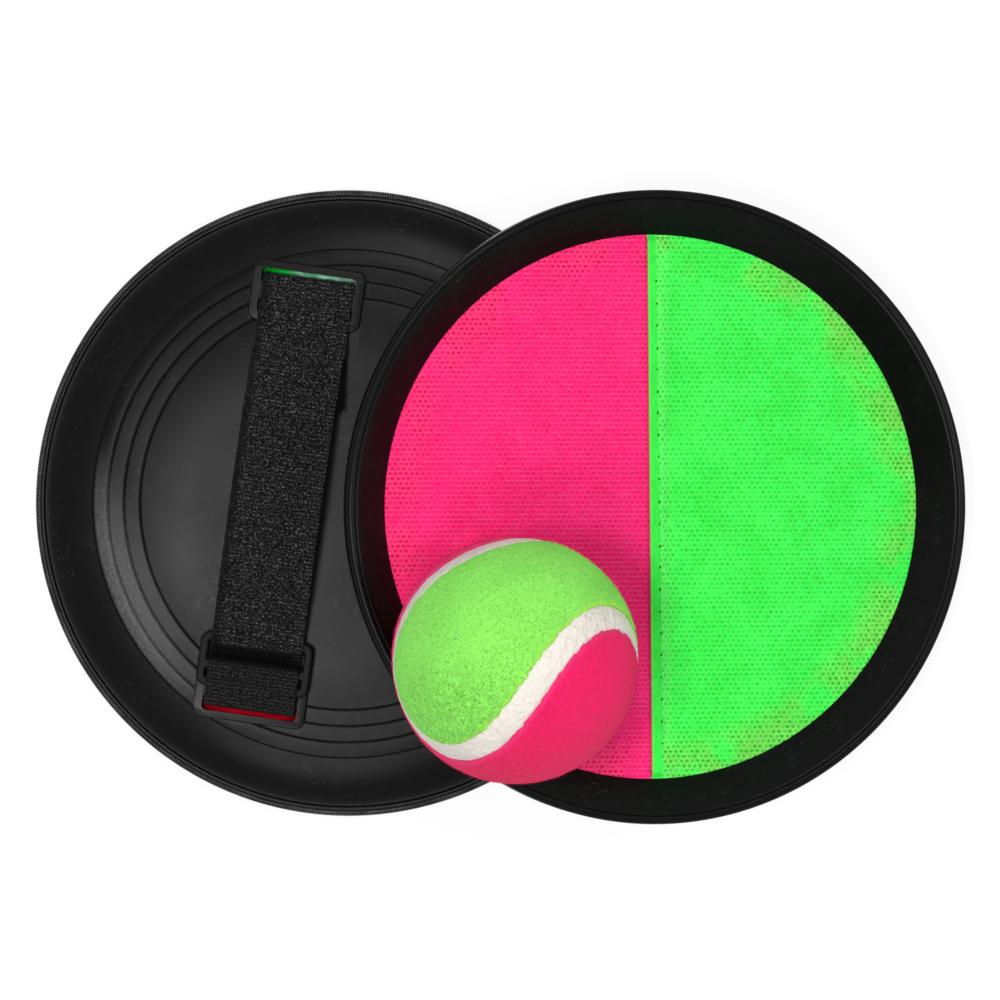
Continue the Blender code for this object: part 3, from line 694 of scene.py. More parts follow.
def plate(outlines, bottom, top, edge=0.0):
    """A flat moulded piece from closed outlines, with rounded edges."""
    curve = bpy.data.curves.new("plate", "CURVE")
    curve.dimensions = "2D"
    curve.fill_mode = "BOTH"
    curve.extrude = ((top - bottom) / 2 - edge) * MM
    curve.bevel_depth = edge * MM
    curve.bevel_resolution = 3
    curve.offset = -edge * MM
    curve.render_resolution_u = 0
    for outline in outlines:
        spline = curve.splines.new("POLY")
        spline.points.add(len(outline) - 1)
        for point, place in zip(spline.points, outline):
            point.co = (place[0] * MM, place[1] * MM, 0.0, 1.0)
        spline.use_cyclic_u = True
    obj = placed("plate", curve)
    obj.location.z = (bottom + top) / 2 * MM
    return tidy_mesh(baked(obj))


# Back shell

def lip_centre(inner):
    outer = PADDLE_RADIUS - LIP_ROUND
    return (outer - LIP_LAND if inner else outer, LIP_ROUND)


def terrace_depth(index):
    return BODY_DEPTH - (TERRACES + 1 - index) * TERRACE_RISE


def terrace_radius(index):
    return PLATEAU_RADIUS - (index - 1) * TERRACE_WIDTH


def wall_curve(inset, steps):
    """The outer wall's curve, steep at its foot and gently sloped at the plateau's edge."""
    foot = (RIM_RADIUS - RIM_FLANGE, RIM_DEPTH - EDGE_ROUND)
    crown = (PLATEAU_RADIUS + CLEARANCE, terrace_depth(1) - PLATEAU_STEP)
    sweep = math.radians(WALL_SWEEP)
    run = (foot[0] - crown[0]) / (1 - math.cos(sweep))
    rise = (crown[1] - foot[1]) / math.sin(sweep)
    return arc((foot[0] - run, foot[1]), (run - inset, rise - inset), 0, WALL_SWEEP, steps)


def shell_profile():
    """Half section of the back shell, from the middle of the back round to the middle inside."""
    rim = RIM_RADIUS
    rim_start = LIP_ROUND + RING_WALL
    back = [(0.0, BODY_DEPTH), (20.0, BODY_DEPTH), (40.0, BODY_DEPTH)]
    for index in range(TERRACES, 0, -1):
        edge = terrace_radius(index + 1)
        level = terrace_depth(index + 1)
        back += [(edge - 0.3, level), (edge - 0.08, level - 0.04)]
        back += arc((edge + TERRACE_COVE, level), (TERRACE_COVE, TERRACE_RISE), 194, 270, 7)
    back += [(PLATEAU_RADIUS - 0.25, terrace_depth(1)), (PLATEAU_RADIUS, terrace_depth(1) - 0.12)]
    back += wall_curve(0.0, 20)[::-1]
    back.append((rim - RIM_FLANGE + EDGE_ROUND / 2, RIM_DEPTH - 0.05))
    back += [(rim - EDGE_ROUND - 0.3, RIM_DEPTH)]
    back += arc((rim - EDGE_ROUND, RIM_DEPTH - EDGE_ROUND), (EDGE_ROUND, EDGE_ROUND), 90, 0, 4)
    back.append((rim, rim_start))
    inside = [(rim - RIM_WALL, rim_start), (rim - RIM_WALL, RIM_DEPTH - 2 * EDGE_ROUND)]
    inner_wall = wall_curve(SHELL_WALL, 12)[::-1]
    rib_out = FABRIC_RADIUS - CLEARANCE
    rib_in = rib_out - CLAMP_RIB_WIDTH
    out_level, in_level = np.interp((rib_out, rib_in), *zip(*inner_wall))
    rib_face = FABRIC_FRONT + FABRIC_THICKNESS + CLEARANCE
    inside += [point for point in inner_wall[::-1] if point[0] > rib_out]
    inside += [(rib_out, out_level), (rib_out, rib_face)]
    inside += [(rib_in, rib_face), (rib_in, in_level)]
    inside += [point for point in inner_wall[::-1] if point[0] < rib_in]
    underside = BODY_DEPTH - SHELL_WALL
    inside += [(terrace_radius(TERRACES + 1) - SHELL_WALL / 2, underside), (0.0, underside)]
    return back + inside


def shell_mesh(looks):
    """Turned shell with a strap anchor at each end: frame, window and crossbar."""
    points, faces = turned(shell_profile(), SHELL_TURNS, False)
    mesh = tidy_mesh(mesh_of("back_shell", points, faces, []))
    centres = [(STRAP_OFFSET, end * ANCHOR_REACH) for end in (1, -1)]
    top = BODY_DEPTH + ANCHOR_RISE
    bottom = BODY_DEPTH - ANCHOR_DEPTH
    bar = top - CROSSBAR_DROP
    under_bar = bar - CROSSBAR_THICKNESS
    width = SLOT_WIDTH
    window = SLOT_PITCH + SLOT_LENGTH
    steps = (
        ("UNION", width + 2 * SLIDER_RAIL, ANCHOR_LENGTH, ANCHOR_CORNER, bottom, top, EDGE_ROUND),
        ("DIFFERENCE", width, window, SLOT_CORNER, bottom - ANCHOR_RISE, top + ANCHOR_RISE, 0.0),
        ("UNION", width + SLIDER_RAIL, CROSSBAR_WIDTH, EDGE_ROUND, under_bar, bar, EDGE_ROUND),
    )
    for operation, width, length, corner, low, high, edge in steps:
        outlines = [rounded_rectangle(width, length, corner, centre) for centre in centres]
        mesh = combined(mesh, plate(outlines, low, high, edge), operation)
    return finished(mesh, [looks["body"]], 30.0)


# Front ring

def slope_angle():
    centre = lip_centre(True)
    run = centre[0] - RING_OPENING_RADIUS
    drop = RING_FOOT_DEPTH - centre[1]
    return math.atan2(drop, run) + math.asin(LIP_ROUND / math.hypot(run, drop))


def hidden_slope_radius(depth):
    angle = slope_angle()
    centre = lip_centre(True)
    inset = LIP_ROUND - RING_WALL
    start = (centre[0] - inset * math.sin(angle), centre[1] - inset * math.cos(angle))
    return start[0] - (depth - start[1]) / math.tan(angle)


def ring_profile():
    """Section of the ring: knurled skirt end, lip with its groove, slope and foot."""
    skirt_inside = PADDLE_RADIUS - SKIRT_WALL
    under_lip = LIP_ROUND + RING_WALL / 4
    points = [
        (skirt_inside - 0.2, SKIRT_DEPTH - 0.1),
        (skirt_inside - 0.05, SKIRT_DEPTH),
        (PADDLE_RADIUS - 0.45, SKIRT_DEPTH - 0.1),
        (PADDLE_RADIUS - 0.12, SKIRT_DEPTH - 0.45),
        (PADDLE_RADIUS, SKIRT_DEPTH - 1.1),
        (PADDLE_RADIUS, SKIRT_DEPTH - 2.0),
    ]
    points += arc(lip_centre(False), (LIP_ROUND, LIP_ROUND), 0, -90, 8)
    inner = lip_centre(True)
    for step, drop in ((0.42, 0.1), (0.3, 0.7), (0.16, 1.0), (0.02, 0.7), (-0.1, 0.1)):
        points.append((inner[0] + step, LIP_GROOVE * drop))
    angle = math.degrees(slope_angle())
    points += arc(inner, (LIP_ROUND, LIP_ROUND), -98, -90 - angle, 6)
    foot = RING_OPENING_RADIUS
    points += [(foot + 0.15, RING_FOOT_DEPTH - 0.2), (foot, RING_FOOT_DEPTH - 0.02)]
    points.append((hidden_slope_radius(RING_FOOT_DEPTH), RING_FOOT_DEPTH))
    points.append((hidden_slope_radius(under_lip), under_lip))
    points.append((skirt_inside, under_lip))
    return points


def knurled(angles, index):
    """Small radial teeth round the skirt's end."""
    share = (0.4, 1.0, 1.0, 1.0, 0.6, 0.0)
    if index >= len(share) or share[index] == 0.0:
        return 0.0, 0.0
    tooth = np.where(np.arange(len(angles)) % 2 == 0, 0.0, -1.0) * KNURL_DEPTH * share[index]
    uneven = 0.6 + 0.4 * np.sin(angles * 23.0) * np.sin(angles * 7.0 + 1.0)
    return tooth * (0.7 if index > 1 else 0.0), tooth * uneven


def ring_mesh(looks):
    points, faces = turned(ring_profile(), 2 * KNURLS, True, knurled)
    return tidy_mesh(mesh_of("front_ring", points, faces, [looks["body"]], sharp=50.0))


# Catching fabric

def hem_level(across, along):
    """How far the green fabric stands over its own level: at the seam, but not under the ring."""
    lift = FABRIC_THICKNESS + CLEARANCE
    over = float(np.clip((HEM_EDGE + HEM_RAMP - along) / (1.5 * HEM_RAMP), 0.0, 1.0))
    inside = float(np.clip((RING_OPENING_RADIUS - 0.3 - math.hypot(across, along)) / 1.4, 0.0, 1.0))
    return lift * over * inside * inside * (3 - 2 * inside)


def seam_line(across):
    return SEAM_OFFSET + SEAM_LEAN * across


def pink_edge(across):
    """The pink half's edge lies under the green hem, but stops at the seam near the ring."""
    return HEM_EDGE - CLEARANCE if abs(across) < RING_OPENING_RADIUS - 2.7 else seam_line(across) - 0.15


def backing_bulge(across, along):
    """How far the loose fabric puffs up behind a strap anchor's outer slot."""
    side = (abs(along) - ANCHOR_REACH - SLOT_PITCH / 2 - 1.4) / 3.0
    end = abs(across - STRAP_OFFSET) / (SLOT_WIDTH / 2 + 1.0)
    if abs(side) >= 1.0 or end >= 1.0:
        return 0.0
    folds = 1.0 + 0.18 * math.sin(across * 0.9) * math.sin(across * 0.37 + along)
    return BACKING_BULGE * (1.0 - side ** 2) ** 2 * (1.0 - end ** 6) * min(folds, 1.05)


def fabric_mesh(name, sign, start, level, finishes, columns):
    """Half a disc of fabric from its seam edge outwards, as a closed thin sheet.
    Rows of hooks stand on the front. Along its seam edge the sheet is smooth."""
    step = ROW_PITCH / 2
    lines = int(FABRIC_RADIUS / step)
    points = []
    for side in (0, 1):
        for line in range(-lines, lines + 1):
            across = line * step
            reach = math.sqrt(max(FABRIC_RADIUS ** 2 - across ** 2, 0.01))
            begin = max(min(start(across), reach), -reach)
            for share in columns:
                along = begin + (sign * reach - begin) * share
                smooth_hem = 1.0 if sign < 0 else float(np.clip((along - HEM_EDGE + 0.5) / 1.0, 0.0, 1.0))
                row = ROW_HEIGHT * (line % 2) * smooth_hem
                height = FABRIC_FRONT - level(across, along)
                height += FABRIC_THICKNESS + backing_bulge(across, along) if side else ROW_HEIGHT / 2 - row
                points.append((across, along, height))
    count = len(columns)
    rows = 2 * lines + 1
    sheet = rows * count
    faces = []
    finish = []
    for side in (0, 1):
        for line in range(rows - 1):
            for column in range(count - 1):
                first = side * sheet + line * count + column
                corners = (first, first + 1, first + count + 1, first + count)
                faces.append(corners[::-1] if side else corners)
                finish.append(side)
    border = [line * count for line in range(rows)]
    border += [(rows - 1) * count + column for column in range(1, count)]
    border += [line * count + count - 1 for line in range(rows - 2, -1, -1)]
    border += [column for column in range(count - 2, 0, -1)]
    faces += quads(border, [index + sheet for index in border])
    finish += [0] * len(border)
    return tidy_mesh(mesh_of(name, points, faces, finishes, finish, 60.0), False)


def tube(path, radius, sides=6):
    """Points and faces of a closed thin tube with rounded ends along a path."""
    points = []
    path = [Vector(place) for place in path]
    count = len(path)
    for index, place in enumerate(path):
        ahead = path[min(index + 1, count - 1)] - path[max(index - 1, 0)]
        side = ahead.cross(Vector((0, 0, 1))).normalized()
        up = side.cross(ahead).normalized()
        size = radius * math.sqrt(max(0.12, 1.0 - (2.0 * index / (count - 1) - 1.0) ** 4))
        for turn in range(sides):
            angle = 2 * math.pi * turn / sides
            points.append(place + (side * math.cos(angle) + up * math.sin(angle)) * size)
    return points, skin(sides, count)


def gathered(parts):
    """Join several (points, faces) into one."""
    points = []
    faces = []
    for some_points, some_faces in parts:
        start = len(points)
        points += [tuple(place) for place in some_points]
        faces += [tuple(start + index for index in face) for face in some_faces]
    return points, faces


def stitch_places():
    reach = RING_OPENING_RADIUS - 2.5
    count = int(reach / STITCH_PITCH)
    return [index * STITCH_PITCH + 1.5 for index in range(-count, count)]


def stitches(looks):
    """Thread of the seam, one stitch from needle hole to needle hole, and the holes."""
    level = FABRIC_FRONT - FABRIC_THICKNESS - CLEARANCE
    threads = []
    holes = []
    rng = np.random.default_rng(3)
    for place in stitch_places():
        along = SEAM_OFFSET + HEM_WIDTH + HEM_LEAN * place
        path = []
        for index in range(7):
            share = index / 6
            arch = 0.16 * math.sin(math.pi * share)
            path.append((place + 0.5 + share * (STITCH_PITCH - 1.0), along, level + 0.1 - arch))
        threads.append(tube(path, THREAD_RADIUS))
        half = rng.uniform(0.22, 0.45)
        spot = (place + rng.uniform(-0.3, 0.3), along + rng.uniform(-0.15, 0.15))
        dip = ((-half, 0.02), (0, 0.07), (half, 0.02))
        holes.append(tube([(spot[0] + shift, spot[1], level - drop) for shift, drop in dip], HOLE_RADIUS, 8))
    thread = mesh_of("hem_stitches", *gathered(threads), [looks["thread"]])
    hole = mesh_of("needle_holes", *gathered(holes), [looks["hole"]])
    return tidy_mesh(thread), tidy_mesh(hole)


# Webbing, whose route is a centre line of places along the strap and heights over the plateau

def strap_levels():
    half = STRAP_THICKNESS / 2 + CLEARANCE
    bar_top = ANCHOR_RISE - CROSSBAR_DROP
    levels = {
        "plate": half,
        "over_bar": bar_top + half,
        "under_bar": bar_top - CROSSBAR_THICKNESS - half,
        "border": ANCHOR_RISE + half,
    }
    levels["second"] = levels["border"] + 2 * half - CLEARANCE
    levels["slider"] = SLIDER_BOTTOM + SLIDER_THICKNESS + half
    return levels


def rounded_route(corners):
    """Centre line through (along, up, radius) corners with arcs at the corners."""
    route = [Vector(corners[0][:2])]
    for before, here, after in zip(corners, corners[1:], corners[2:]):
        point = Vector(here[:2])
        back = Vector(before[:2]) - point
        ahead = Vector(after[:2]) - point
        half_turn = back.angle(ahead) / 2
        cut = min(here[2] / math.tan(half_turn), back.length * 0.49, ahead.length * 0.49)
        radius = cut * math.tan(half_turn)
        centre = point + (back.normalized() + ahead.normalized()).normalized() * math.hypot(cut, radius)
        start = point + back.normalized() * cut - centre
        turn = start.angle_signed(point + ahead.normalized() * cut - centre)
        steps = max(1, round(abs(turn) / math.radians(12)))
        for index in range(steps + 1):
            route.append(centre + Matrix.Rotation(-turn * index / steps, 2) @ start)
    route.append(Vector(corners[-1][:2]))
    return route


def hand_span(slack, levels):
    upper = ANCHOR_REACH - ANCHOR_LENGTH / 2 - STRAP_BEND
    lower = SLIDER_TOP + STRAP_BEND
    start = levels["second"]
    end = levels["slider"]
    if slack > 0:
        corners = []
        for index in range(9):
            share = index / 8
            rise = 4 * slack * share * (1 - share)
            corners.append((upper + (lower - upper) * share, start + (end - start) * share + rise, 20.0))
        return corners
    bend = 4 * STRAP_BEND
    tail = upper - STRAP_TAIL
    layer = levels["plate"] + STRAP_THICKNESS + CLEARANCE
    return [
        (upper, start, bend),
        (upper - bend, layer, bend),
        (tail - STRAP_BEND, layer, bend),
        (tail - 3 * STRAP_BEND, levels["plate"], bend),
        (lower + bend, levels["plate"], bend),
        (lower, end, STRAP_BEND),
    ]


def tail_under(span, levels, slack):
    layer = STRAP_THICKNESS + CLEARANCE
    upper = span[0][0]
    corners = []
    for place, height, radius in span:
        if place < upper - STRAP_TAIL:
            break
        corners.append((place, height - layer, radius))
    if slack <= 0:
        corners[-1] = (upper - STRAP_TAIL, levels["plate"], STRAP_BEND)
    return corners[::-1]


def strap_corners(slack):
    levels = strap_levels()
    bend = STRAP_BEND
    inner = ANCHOR_REACH - SLOT_PITCH / 2
    outer = ANCHOR_REACH + SLOT_PITCH / 2
    span = hand_span(slack, levels)
    route = tail_under(span, levels, slack)
    route += [
        (inner, levels["border"], bend + CLEARANCE),
        (inner, levels["under_bar"], bend),
        (outer, levels["under_bar"], bend),
        (outer, levels["over_bar"], bend),
        (ANCHOR_REACH - CROSSBAR_WIDTH / 4, levels["over_bar"], bend),
        (inner - CLEARANCE, levels["second"], bend),
    ]
    route += span
    half = STRAP_THICKNESS / 2 + CLEARANCE
    tuck = WINDOW_END + half
    bottom_edge = SLIDER_TOP - SLIDER_LENGTH
    bulge = (bottom_edge - outer) / 2
    route += [
        (WINDOW_TOP - half, levels["slider"], bend),
        (WINDOW_TOP - half - CLEARANCE, levels["border"], bend),
        (-inner, levels["border"], bend + CLEARANCE),
        (-inner, levels["under_bar"], bend),
        (-outer, levels["under_bar"], bend),
        (-outer, levels["over_bar"] - half, 2 * bend),
        (-outer + CLEARANCE, levels["over_bar"] + bend, 2 * bend),
        (bulge, levels["slider"] - bend, 2 * bend),
        (bottom_edge - CLEARANCE, levels["slider"], 2 * bend),
        (tuck, levels["slider"], bend),
        (tuck, SLIDER_BOTTOM + SLIDER_THICKNESS / 2, bend),
    ]
    return route


def even_route(route, step):
    """The same line with points at most a step apart."""
    line = [route[0]]
    for start, end in zip(route, route[1:]):
        parts = max(1, math.ceil((end - start).length / step))
        for index in range(1, parts + 1):
            line.append(start.lerp(end, index / parts))
    return line[:1] + [place for before, place in zip(line, line[1:]) if (place - before).length > 1e-5]


def eased(line, passes):
    """Soften the joins of a line, with its ends kept."""
    for _ in range(passes):
        middle = [(a + 2 * b + c) / 4 for a, b, c in zip(line, line[1:], line[2:])]
        line = [line[0]] + middle + [line[-1]]
    return line


def unit(vectors):
    return vectors / np.linalg.norm(vectors, axis=1)[:, None]


def fibres(rng, roots, outward, stiffness, least, lengths, widths):
    """Thin closed four-sided fibres that stand on their roots and lean at random."""
    directions = unit(outward * stiffness + rng.normal(0.0, 0.6, roots.shape))
    sunk = (directions * outward).sum(axis=1) < least
    directions[sunk] += outward[sunk] * 0.6
    directions = unit(directions)
    long = rng.uniform(*lengths, len(roots))
    half = rng.uniform(*widths, len(roots))[:, None] / 2
    aside = unit(np.cross(directions, np.roll(directions, 1, axis=1) + 0.3))
    third = np.cross(directions, aside)
    corners = [
        roots + aside * half,
        roots - aside * half * 0.5 + third * half * 0.87,
        roots - aside * half * 0.5 - third * half * 0.87,
        roots + directions * long[:, None],
    ]
    points = np.stack(corners, axis=1).reshape(-1, 3)
    starts = np.arange(len(roots)) * 4
    faces = []
    for pattern in ((0, 2, 1), (0, 1, 3), (1, 2, 3), (2, 0, 3)):
        faces += np.stack([starts + index for index in pattern], axis=1).tolist()
    return points.tolist(), faces


def webbing(slack, seed):
    """Webbing along its route: loops on the outside, ribs on the inside and soft edges."""
    line = eased(even_route(rounded_route(strap_corners(slack)), STRAP_STEP), 1)
    half = STRAP_THICKNESS / 2
    width = STRAP_WIDTH / 2
    section = [(share, 1.0) for share in np.linspace(-0.975, 0.975, 27)]
    section = [(-1.0, 0.45)] + section + [(1.0, 0.45)]
    section += [(share, -height) for share, height in section[::-1]]
    rng = np.random.default_rng(seed)
    points = []
    tops = []
    for index, place in enumerate(line):
        ahead = line[min(index + 1, len(line) - 1)] - line[max(index - 1, 0)]
        up = Vector((ahead.y, -ahead.x)).normalized()
        gone = (place - line[0]).length / (STRAP_TAIL - 4.0) if index < len(line) / 3 else 1.0
        drift = TAIL_DRIFT * max(0.0, 1.0 - gone)
        squeeze = 0.6 if index in (0, len(line) - 1) else 1.0
        for share, height in section:
            lift = height * half * squeeze
            if height > 0.9:
                lift += rng.uniform(-0.07, 0.07)
            edge = share * width + (rng.uniform(-0.08, 0.08) if abs(share) > 0.99 else 0.0)
            spot = place + up * lift
            points.append((STRAP_OFFSET + edge + drift, spot.x, BODY_DEPTH + spot.y))
        tops.append(up)
    heights = [height for _, height in section]
    outside = [0 if max(pair) > 0 else 1 for pair in zip(heights, heights[1:] + heights[:1])]
    return points, skin(len(section), len(line)), outside * (len(line) - 1) + [0, 0], line, tops


def fuzzy_strap(slack, looks, seed):
    """The webbing with short fibres standing on its outer face."""
    points, faces, finish, line, tops = webbing(slack, seed)
    rng = np.random.default_rng(seed + 1)
    picks = rng.integers(2, len(line) - 2, FIBRES)
    across = STRAP_OFFSET + rng.uniform(-0.99, 0.99, FIBRES) * STRAP_WIDTH / 2
    normals = np.array([(0.0, *tops[pick]) for pick in picks])
    middle = np.array([(0.0, line[pick].x, BODY_DEPTH + line[pick].y) for pick in picks])
    roots = middle + normals * (STRAP_THICKNESS / 2 - 0.05)
    roots[:, 0] = across
    fuzz = fibres(rng, roots, normals, 0.55, 0.12, (0.25, 0.5), (0.08, 0.16))
    finish += [0] * len(fuzz[1])
    points, faces = gathered([(points, faces), fuzz])
    return tidy_mesh(mesh_of("hand_strap", points, faces, [looks["loops"], looks["ribs"]], finish, 70.0))


def slider_mesh(looks):
    """Three-bar slider with well rounded rails and bars."""
    width = SLOT_WIDTH + 2 * SLIDER_RAIL
    top = SLIDER_TOP
    middle = top - SLIDER_LENGTH / 2
    outlines = [rounded_rectangle(width, SLIDER_LENGTH, SLIDER_CORNER, (STRAP_OFFSET, middle))]
    edge = top
    for opening in (SLIDER_UPPER_WINDOW, SLIDER_LOWER_WINDOW):
        edge -= SLIDER_BAR + opening / 2
        outlines.append(rounded_rectangle(SLOT_WIDTH, opening, EDGE_ROUND, (STRAP_OFFSET, edge)))
        edge -= opening / 2
    bottom = BODY_DEPTH + SLIDER_BOTTOM
    mesh = plate(outlines, bottom, bottom + SLIDER_THICKNESS, SLIDER_EDGE_ROUND)
    return finished(mesh, [looks["slider"]], 40.0)


# Ball

def seam_points():
    """Unit vectors along the ball's seam line, and the side direction at each."""
    turn = np.linspace(0.0, 2 * math.pi, SEAM_STEPS, endpoint=False)
    wide = 1.0 - SEAM_SHARE

    def at(angle):
        return unit(np.stack((
            wide * np.cos(angle) + SEAM_SHARE * np.cos(3 * angle),
            wide * np.sin(angle) - SEAM_SHARE * np.sin(3 * angle),
            2 * math.sqrt(wide * SEAM_SHARE) * np.sin(2 * angle),
        ), axis=1))

    up = at(turn)
    return up, unit(np.cross(up, at(turn + 0.01) - at(turn - 0.01)))


def seam_distance(directions):
    """Signed distance over the ball's surface to the seam line, and the nearest seam point."""
    up, side = seam_points()
    nearest = np.empty(len(directions), int)
    for start in range(0, len(directions), 4000):
        block = directions[start:start + 4000]
        nearest[start:start + 4000] = np.argmax(block @ up.T, axis=1)
    angle = np.arctan2((directions * side[nearest]).sum(axis=1), (directions * up[nearest]).sum(axis=1))
    return angle * BALL_RADIUS, nearest


def sphere_net():
    shape = bmesh.new()
    bmesh.ops.create_icosphere(shape, subdivisions=NET_DETAIL, radius=1.0)
    points = np.array([vertex.co for vertex in shape.verts])
    faces = np.array([[vertex.index for vertex in face.verts] for face in shape.faces])
    shape.free()
    return unit(points), faces


def ripple(directions, scale, seed):
    """Smooth noise from -1 to 1 at each direction."""
    offset = Vector((seed, seed * 0.7, seed * 1.3))
    return np.array([noise.noise(Vector(place) * scale + offset) for place in directions])


def core_mesh(directions, faces, distance, looks):
    """The rubber core, with the band that shows along the seam lightly wrinkled."""
    folds = 0.13 * ripple(directions, 14.0, 3.0) + 0.12 * ripple(directions, 34.0, 8.0)
    edge = np.clip((SEAM_BAND_WIDTH / 2 + 0.6 - np.abs(distance)) / 1.2, 0.0, 1.0)
    crown = 0.25 * np.cos(np.clip(distance / SEAM_BAND_WIDTH, -0.5, 0.5) * math.pi)
    hidden = BALL_RADIUS - FELT_THICKNESS - 0.35
    shown = BALL_RADIUS - SEAM_BAND_RECESS - 0.25 + crown + folds
    radius = hidden + (shown - hidden) * edge * edge * (3 - 2 * edge)
    return mesh_of("ball_core", directions * radius[:, None], faces.tolist(), [looks["rubber"]])


def panel_mesh(name, sign, directions, faces, distance, finish, seed):
    """One felt panel: crowned edge, uneven outline, matted surface and loose fibres."""
    reach = SEAM_BAND_WIDTH / 2
    wobble = 0.6 * ripple(directions, 22.0, seed) + 0.5 * ripple(directions, 48.0, seed + 5.0)
    depth = distance * sign - reach - wobble
    kept = faces[(depth[faces] > 0.0).sum(axis=1) >= 2]
    used = np.unique(kept)
    renumber = -np.ones(len(directions), int)
    renumber[used] = np.arange(len(used))
    kept = renumber[kept]
    place = directions[used].copy()
    depth = depth[used]
    sides = np.stack((kept, np.roll(kept, -1, axis=1)), axis=2).reshape(-1, 2).tolist()
    times = Counter((min(pair), max(pair)) for pair in sides)
    border = sorted({index for key, count in times.items() if count == 1 for index in key})
    up, side = seam_points()
    _, nearest = seam_distance(place[border])
    for index, near in zip(border, nearest):
        tilt = sign * (reach + wobble[used][index]) / BALL_RADIUS
        place[index] = up[near] * math.cos(tilt) + side[near] * math.sin(tilt)
        depth[index] = 0.0
    rounding = np.clip(depth / 1.1, 0.0, 1.0)
    crown = np.sqrt(1.0 - (1.0 - rounding) ** 2)
    matting = 0.12 * ripple(place, 22.0, seed + 2.0) + 0.09 * ripple(place, 75.0, seed + 9.0)
    radius = BALL_RADIUS - FELT_ROUNDING + FELT_ROUNDING * crown + matting * crown
    points = (place * radius[:, None]).tolist()
    rim = {index: len(points) + count for count, index in enumerate(border)}
    points += (place[border] * (BALL_RADIUS - FELT_THICKNESS - 0.2)).tolist()
    triangles = kept.tolist()
    for first, second in sides:
        if times[(min(first, second), max(first, second))] == 1:
            triangles.append((second, first, rim[first], rim[second]))
    rng = np.random.default_rng(int(seed))
    picks = kept[rng.integers(0, len(kept), FIBRES)]
    weights = rng.dirichlet((1.0, 1.0, 1.0), FIBRES)
    roots = (np.array(points)[picks] * weights[:, :, None]).sum(axis=1)
    outward = unit(roots)
    fuzz = fibres(rng, roots - outward * 0.05, outward, 0.5, 0.1, (0.4, 0.9), (0.05, 0.10))
    inner = np.zeros(len(points))
    inner[:len(depth)] = np.clip(depth / 1.6, 0.0, 1.0)
    inner = np.concatenate((inner, np.repeat((inner[picks] * weights).sum(axis=1), 4)))
    points, triangles = gathered([(points, triangles), fuzz])
    mesh = mesh_of(name, points, triangles, [finish], sharp=70.0)
    mesh.attributes.new(FELT_DEPTH, "FLOAT", "POINT").data.foreach_set("value", inner)
    return mesh


# Assembly

def make_paddle(side, place, slack, meshes, looks, seed):
    made = {}
    meshes["hand_strap"] = fuzzy_strap(slack, looks, seed)
    for name, slot, node in (
        ("shell", "body_plastic", "back_shell"),
        ("ring", "body_plastic", "front_ring"),
        ("buckle", "slider_plastic", "slider"),
        ("hand_strap", "webbing", "strap"),
        ("pink_half", "pink_fabric", "pink_fabric"),
        ("green_half", "green_fabric", "green_fabric"),
        ("hem_stitches", "green_fabric", None),
        ("needle_holes", "green_fabric", None),
    ):
        replaced = [side + "_" + node] if node else []
        made[name] = piece(side + "_" + name, meshes[name], place, replaced)
    disc = math.pi * FABRIC_RADIUS ** 2 / 2
    diameter = 2 * FABRIC_RADIUS
    sewn_on = [made["hem_stitches"], made["needle_holes"]]
    for name, start, extra in (("pink_half", pink_edge(0.0), []), ("green_half", -SEAM_OFFSET, sewn_on)):
        flat = (diameter * MM, (FABRIC_RADIUS + start) * MM)
        area = (disc + diameter * start) * MM * MM
        made[name]


def make_ball(looks):
    directions, faces = sphere_net()
    distance, _ = seam_distance(directions)
    core = core_mesh(directions, faces, distance, looks)
    piece("ball_rubber_core", core, BALL_PLACE, ["ball_core"])
    for name, sign, seed in (("green", -1.0, 11.0), ("pink", 1.0, 29.0)):
        mesh = panel_mesh(name + "_felt", sign, directions, faces, distance, looks[name + "_felt"], seed)
        piece("ball_" + name + "_panel", mesh, BALL_PLACE, ["ball_" + name + "_felt"])


def make_camera():
    """Almost straight down, leaning a little to the far side and to the right paddle."""
    data = bpy.data.cameras.new("camera")
    data.lens = CAMERA_LENS
    data.sensor_width = 36.0
    data.clip_end = 20.0
    camera = placed("camera", data)
    lean = [math.tan(math.radians(angle)) * CAMERA_HEIGHT for angle in CAMERA_LEAN]
    aim = Vector((CAMERA_AIM[0], CAMERA_AIM[1], 0.0))
    camera.location = aim + Vector((lean[0], lean[1], CAMERA_HEIGHT))
    back = (camera.location - aim).normalized()
    right = Vector((0.0, 1.0, 0.0)).cross(back).normalized()
    up = back.cross(right)
    camera.rotation_euler = Matrix((right, up, back)).transposed().to_euler()
    bpy.context.scene.camera = camera


def soft_box(name, place, size, power):
    """An area lamp aimed at the set."""
    data = bpy.data.lights.new(name, "AREA")
    data.shape = "RECTANGLE"
    data.size, data.size_y = size
    data.energy = power
    lamp = placed(name, data)
    lamp.location = place
    lamp.rotation_euler = (-Vector(place)).to_track_quat("-Z", "Y").to_euler()
    lamp.visible_camera = False


def shown_background(tree):
    """1 for rays that show the background: straight from the camera, mirrored or through glass."""
    path = put(tree, "ShaderNodeLightPath").outputs
    return largest(*(Field(path["Is %s Ray" % kind]) for kind in ("Camera", "Glossy", "Transmission")))


def emptied(owner):
    owner.use_nodes = True
    owner.node_tree.nodes.clear()
    return owner.node_tree


def make_world():
    world = bpy.data.worlds.new("studio")
    bpy.context.scene.world = world
    tree = emptied(world)
    soft, white = (
        worked(tree, "ShaderNodeBackground", {"Color": (1.0, 1.0, 1.0, 1.0), "Strength": strength})
        for strength in (0.30, 1.0)
    )
    both = worked(tree, "ShaderNodeMixShader", {0: shown_background(tree), 1: soft, 2: white})
    put(tree, "ShaderNodeOutputWorld", {0: both})


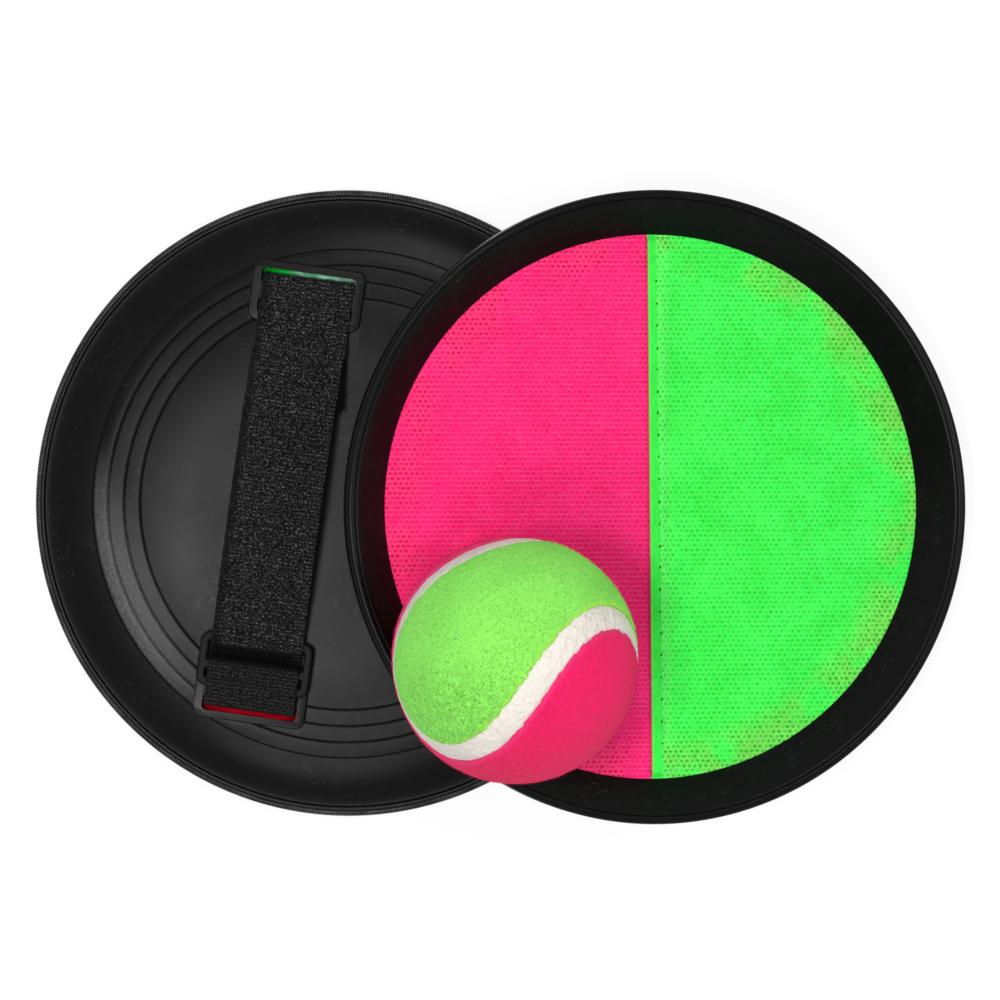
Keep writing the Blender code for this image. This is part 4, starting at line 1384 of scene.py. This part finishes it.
def make_floor():
    """A plain white floor that keeps a faint shadow."""
    data = bpy.data.meshes.new("floor")
    signs = ((-1, -1), (1, -1), (1, 1), (-1, 1))
    corners = [(side * FLOOR_REACH, end * FLOOR_REACH, -0.0001) for side, end in signs]
    data.from_pydata(corners, [], [(0, 1, 2, 3)])
    made = bpy.data.materials.new("pale_floor")
    tree = emptied(made)
    cloth = worked(tree, "ShaderNodeBsdfDiffuse", {"Color": (0.8, 0.8, 0.8, 1.0)})
    spot = worked(tree, "ShaderNodeNewGeometry", output="Position")
    away = spot.vector("LENGTH", (0.0, 0.0, 0.0), "Value")
    glow = worked(tree, "ShaderNodeEmission", {"Strength": away.ramp(0.3, 1.0, 1.08, 1.24)})
    both = worked(tree, "ShaderNodeMixShader", {0: shown_background(tree) * 0.8, 1: cloth, 2: glow})
    put(tree, "ShaderNodeOutputMaterial", {0: both})
    data.materials.append(made)
    placed("floor", data)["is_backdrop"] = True


def make_studio():
    make_world()
    make_floor()
    soft_box("left_box", (-0.24, -0.095, 1.25), (0.20, 0.20), 5.0)
    soft_box("far_box", (0.10, 0.52, 1.25), (0.28, 0.50), 3.9)
    soft_box("near_box", (-0.17, -0.55, 1.25), (0.30, 0.60), 4.6)
    soft_box("right_box", (0.90, 0.10, 0.90), (0.20, 0.35), 3.2)


def main():
    bpy.context.scene.view_settings.view_transform = "Standard"
    make_camera()
    make_studio()
    looks = make_materials()
    hem = np.linspace(0.0, 0.09, 9)
    slot = np.linspace(0.745, 0.895, 31)
    columns = np.concatenate([hem, np.linspace(0.09, 0.745, 6)[1:], slot[1:], (0.95, 1.0)])
    thread, holes = stitches(looks)
    pink_looks = [looks["pink_hooks"], looks["pink_back"]]
    green_looks = [looks["green_hooks"], looks["green_back"]]
    plain = np.append(0.0, columns[len(hem):])
    meshes = {
        "shell": shell_mesh(looks),
        "ring": ring_mesh(looks),
        "buckle": slider_mesh(looks),
        "pink_half": fabric_mesh("pink_half", -1, pink_edge, lambda across, along: 0.0, pink_looks, plain),
        "green_half": fabric_mesh("green_half", 1, seam_line, hem_level, green_looks, columns),
        "hem_stitches": thread,
        "needle_holes": holes,
    }
    make_paddle("left", LEFT_PLACE, LEFT_SLACK, meshes, looks, 5)
    make_paddle("right", RIGHT_PLACE, RIGHT_SLACK, meshes, looks, 6)
    make_ball(looks)
    low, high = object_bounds()
    sizes = {"cad": [list(cad_box[0]), list(cad_box[1])], "visual": [list(low), list(high)]}


main()
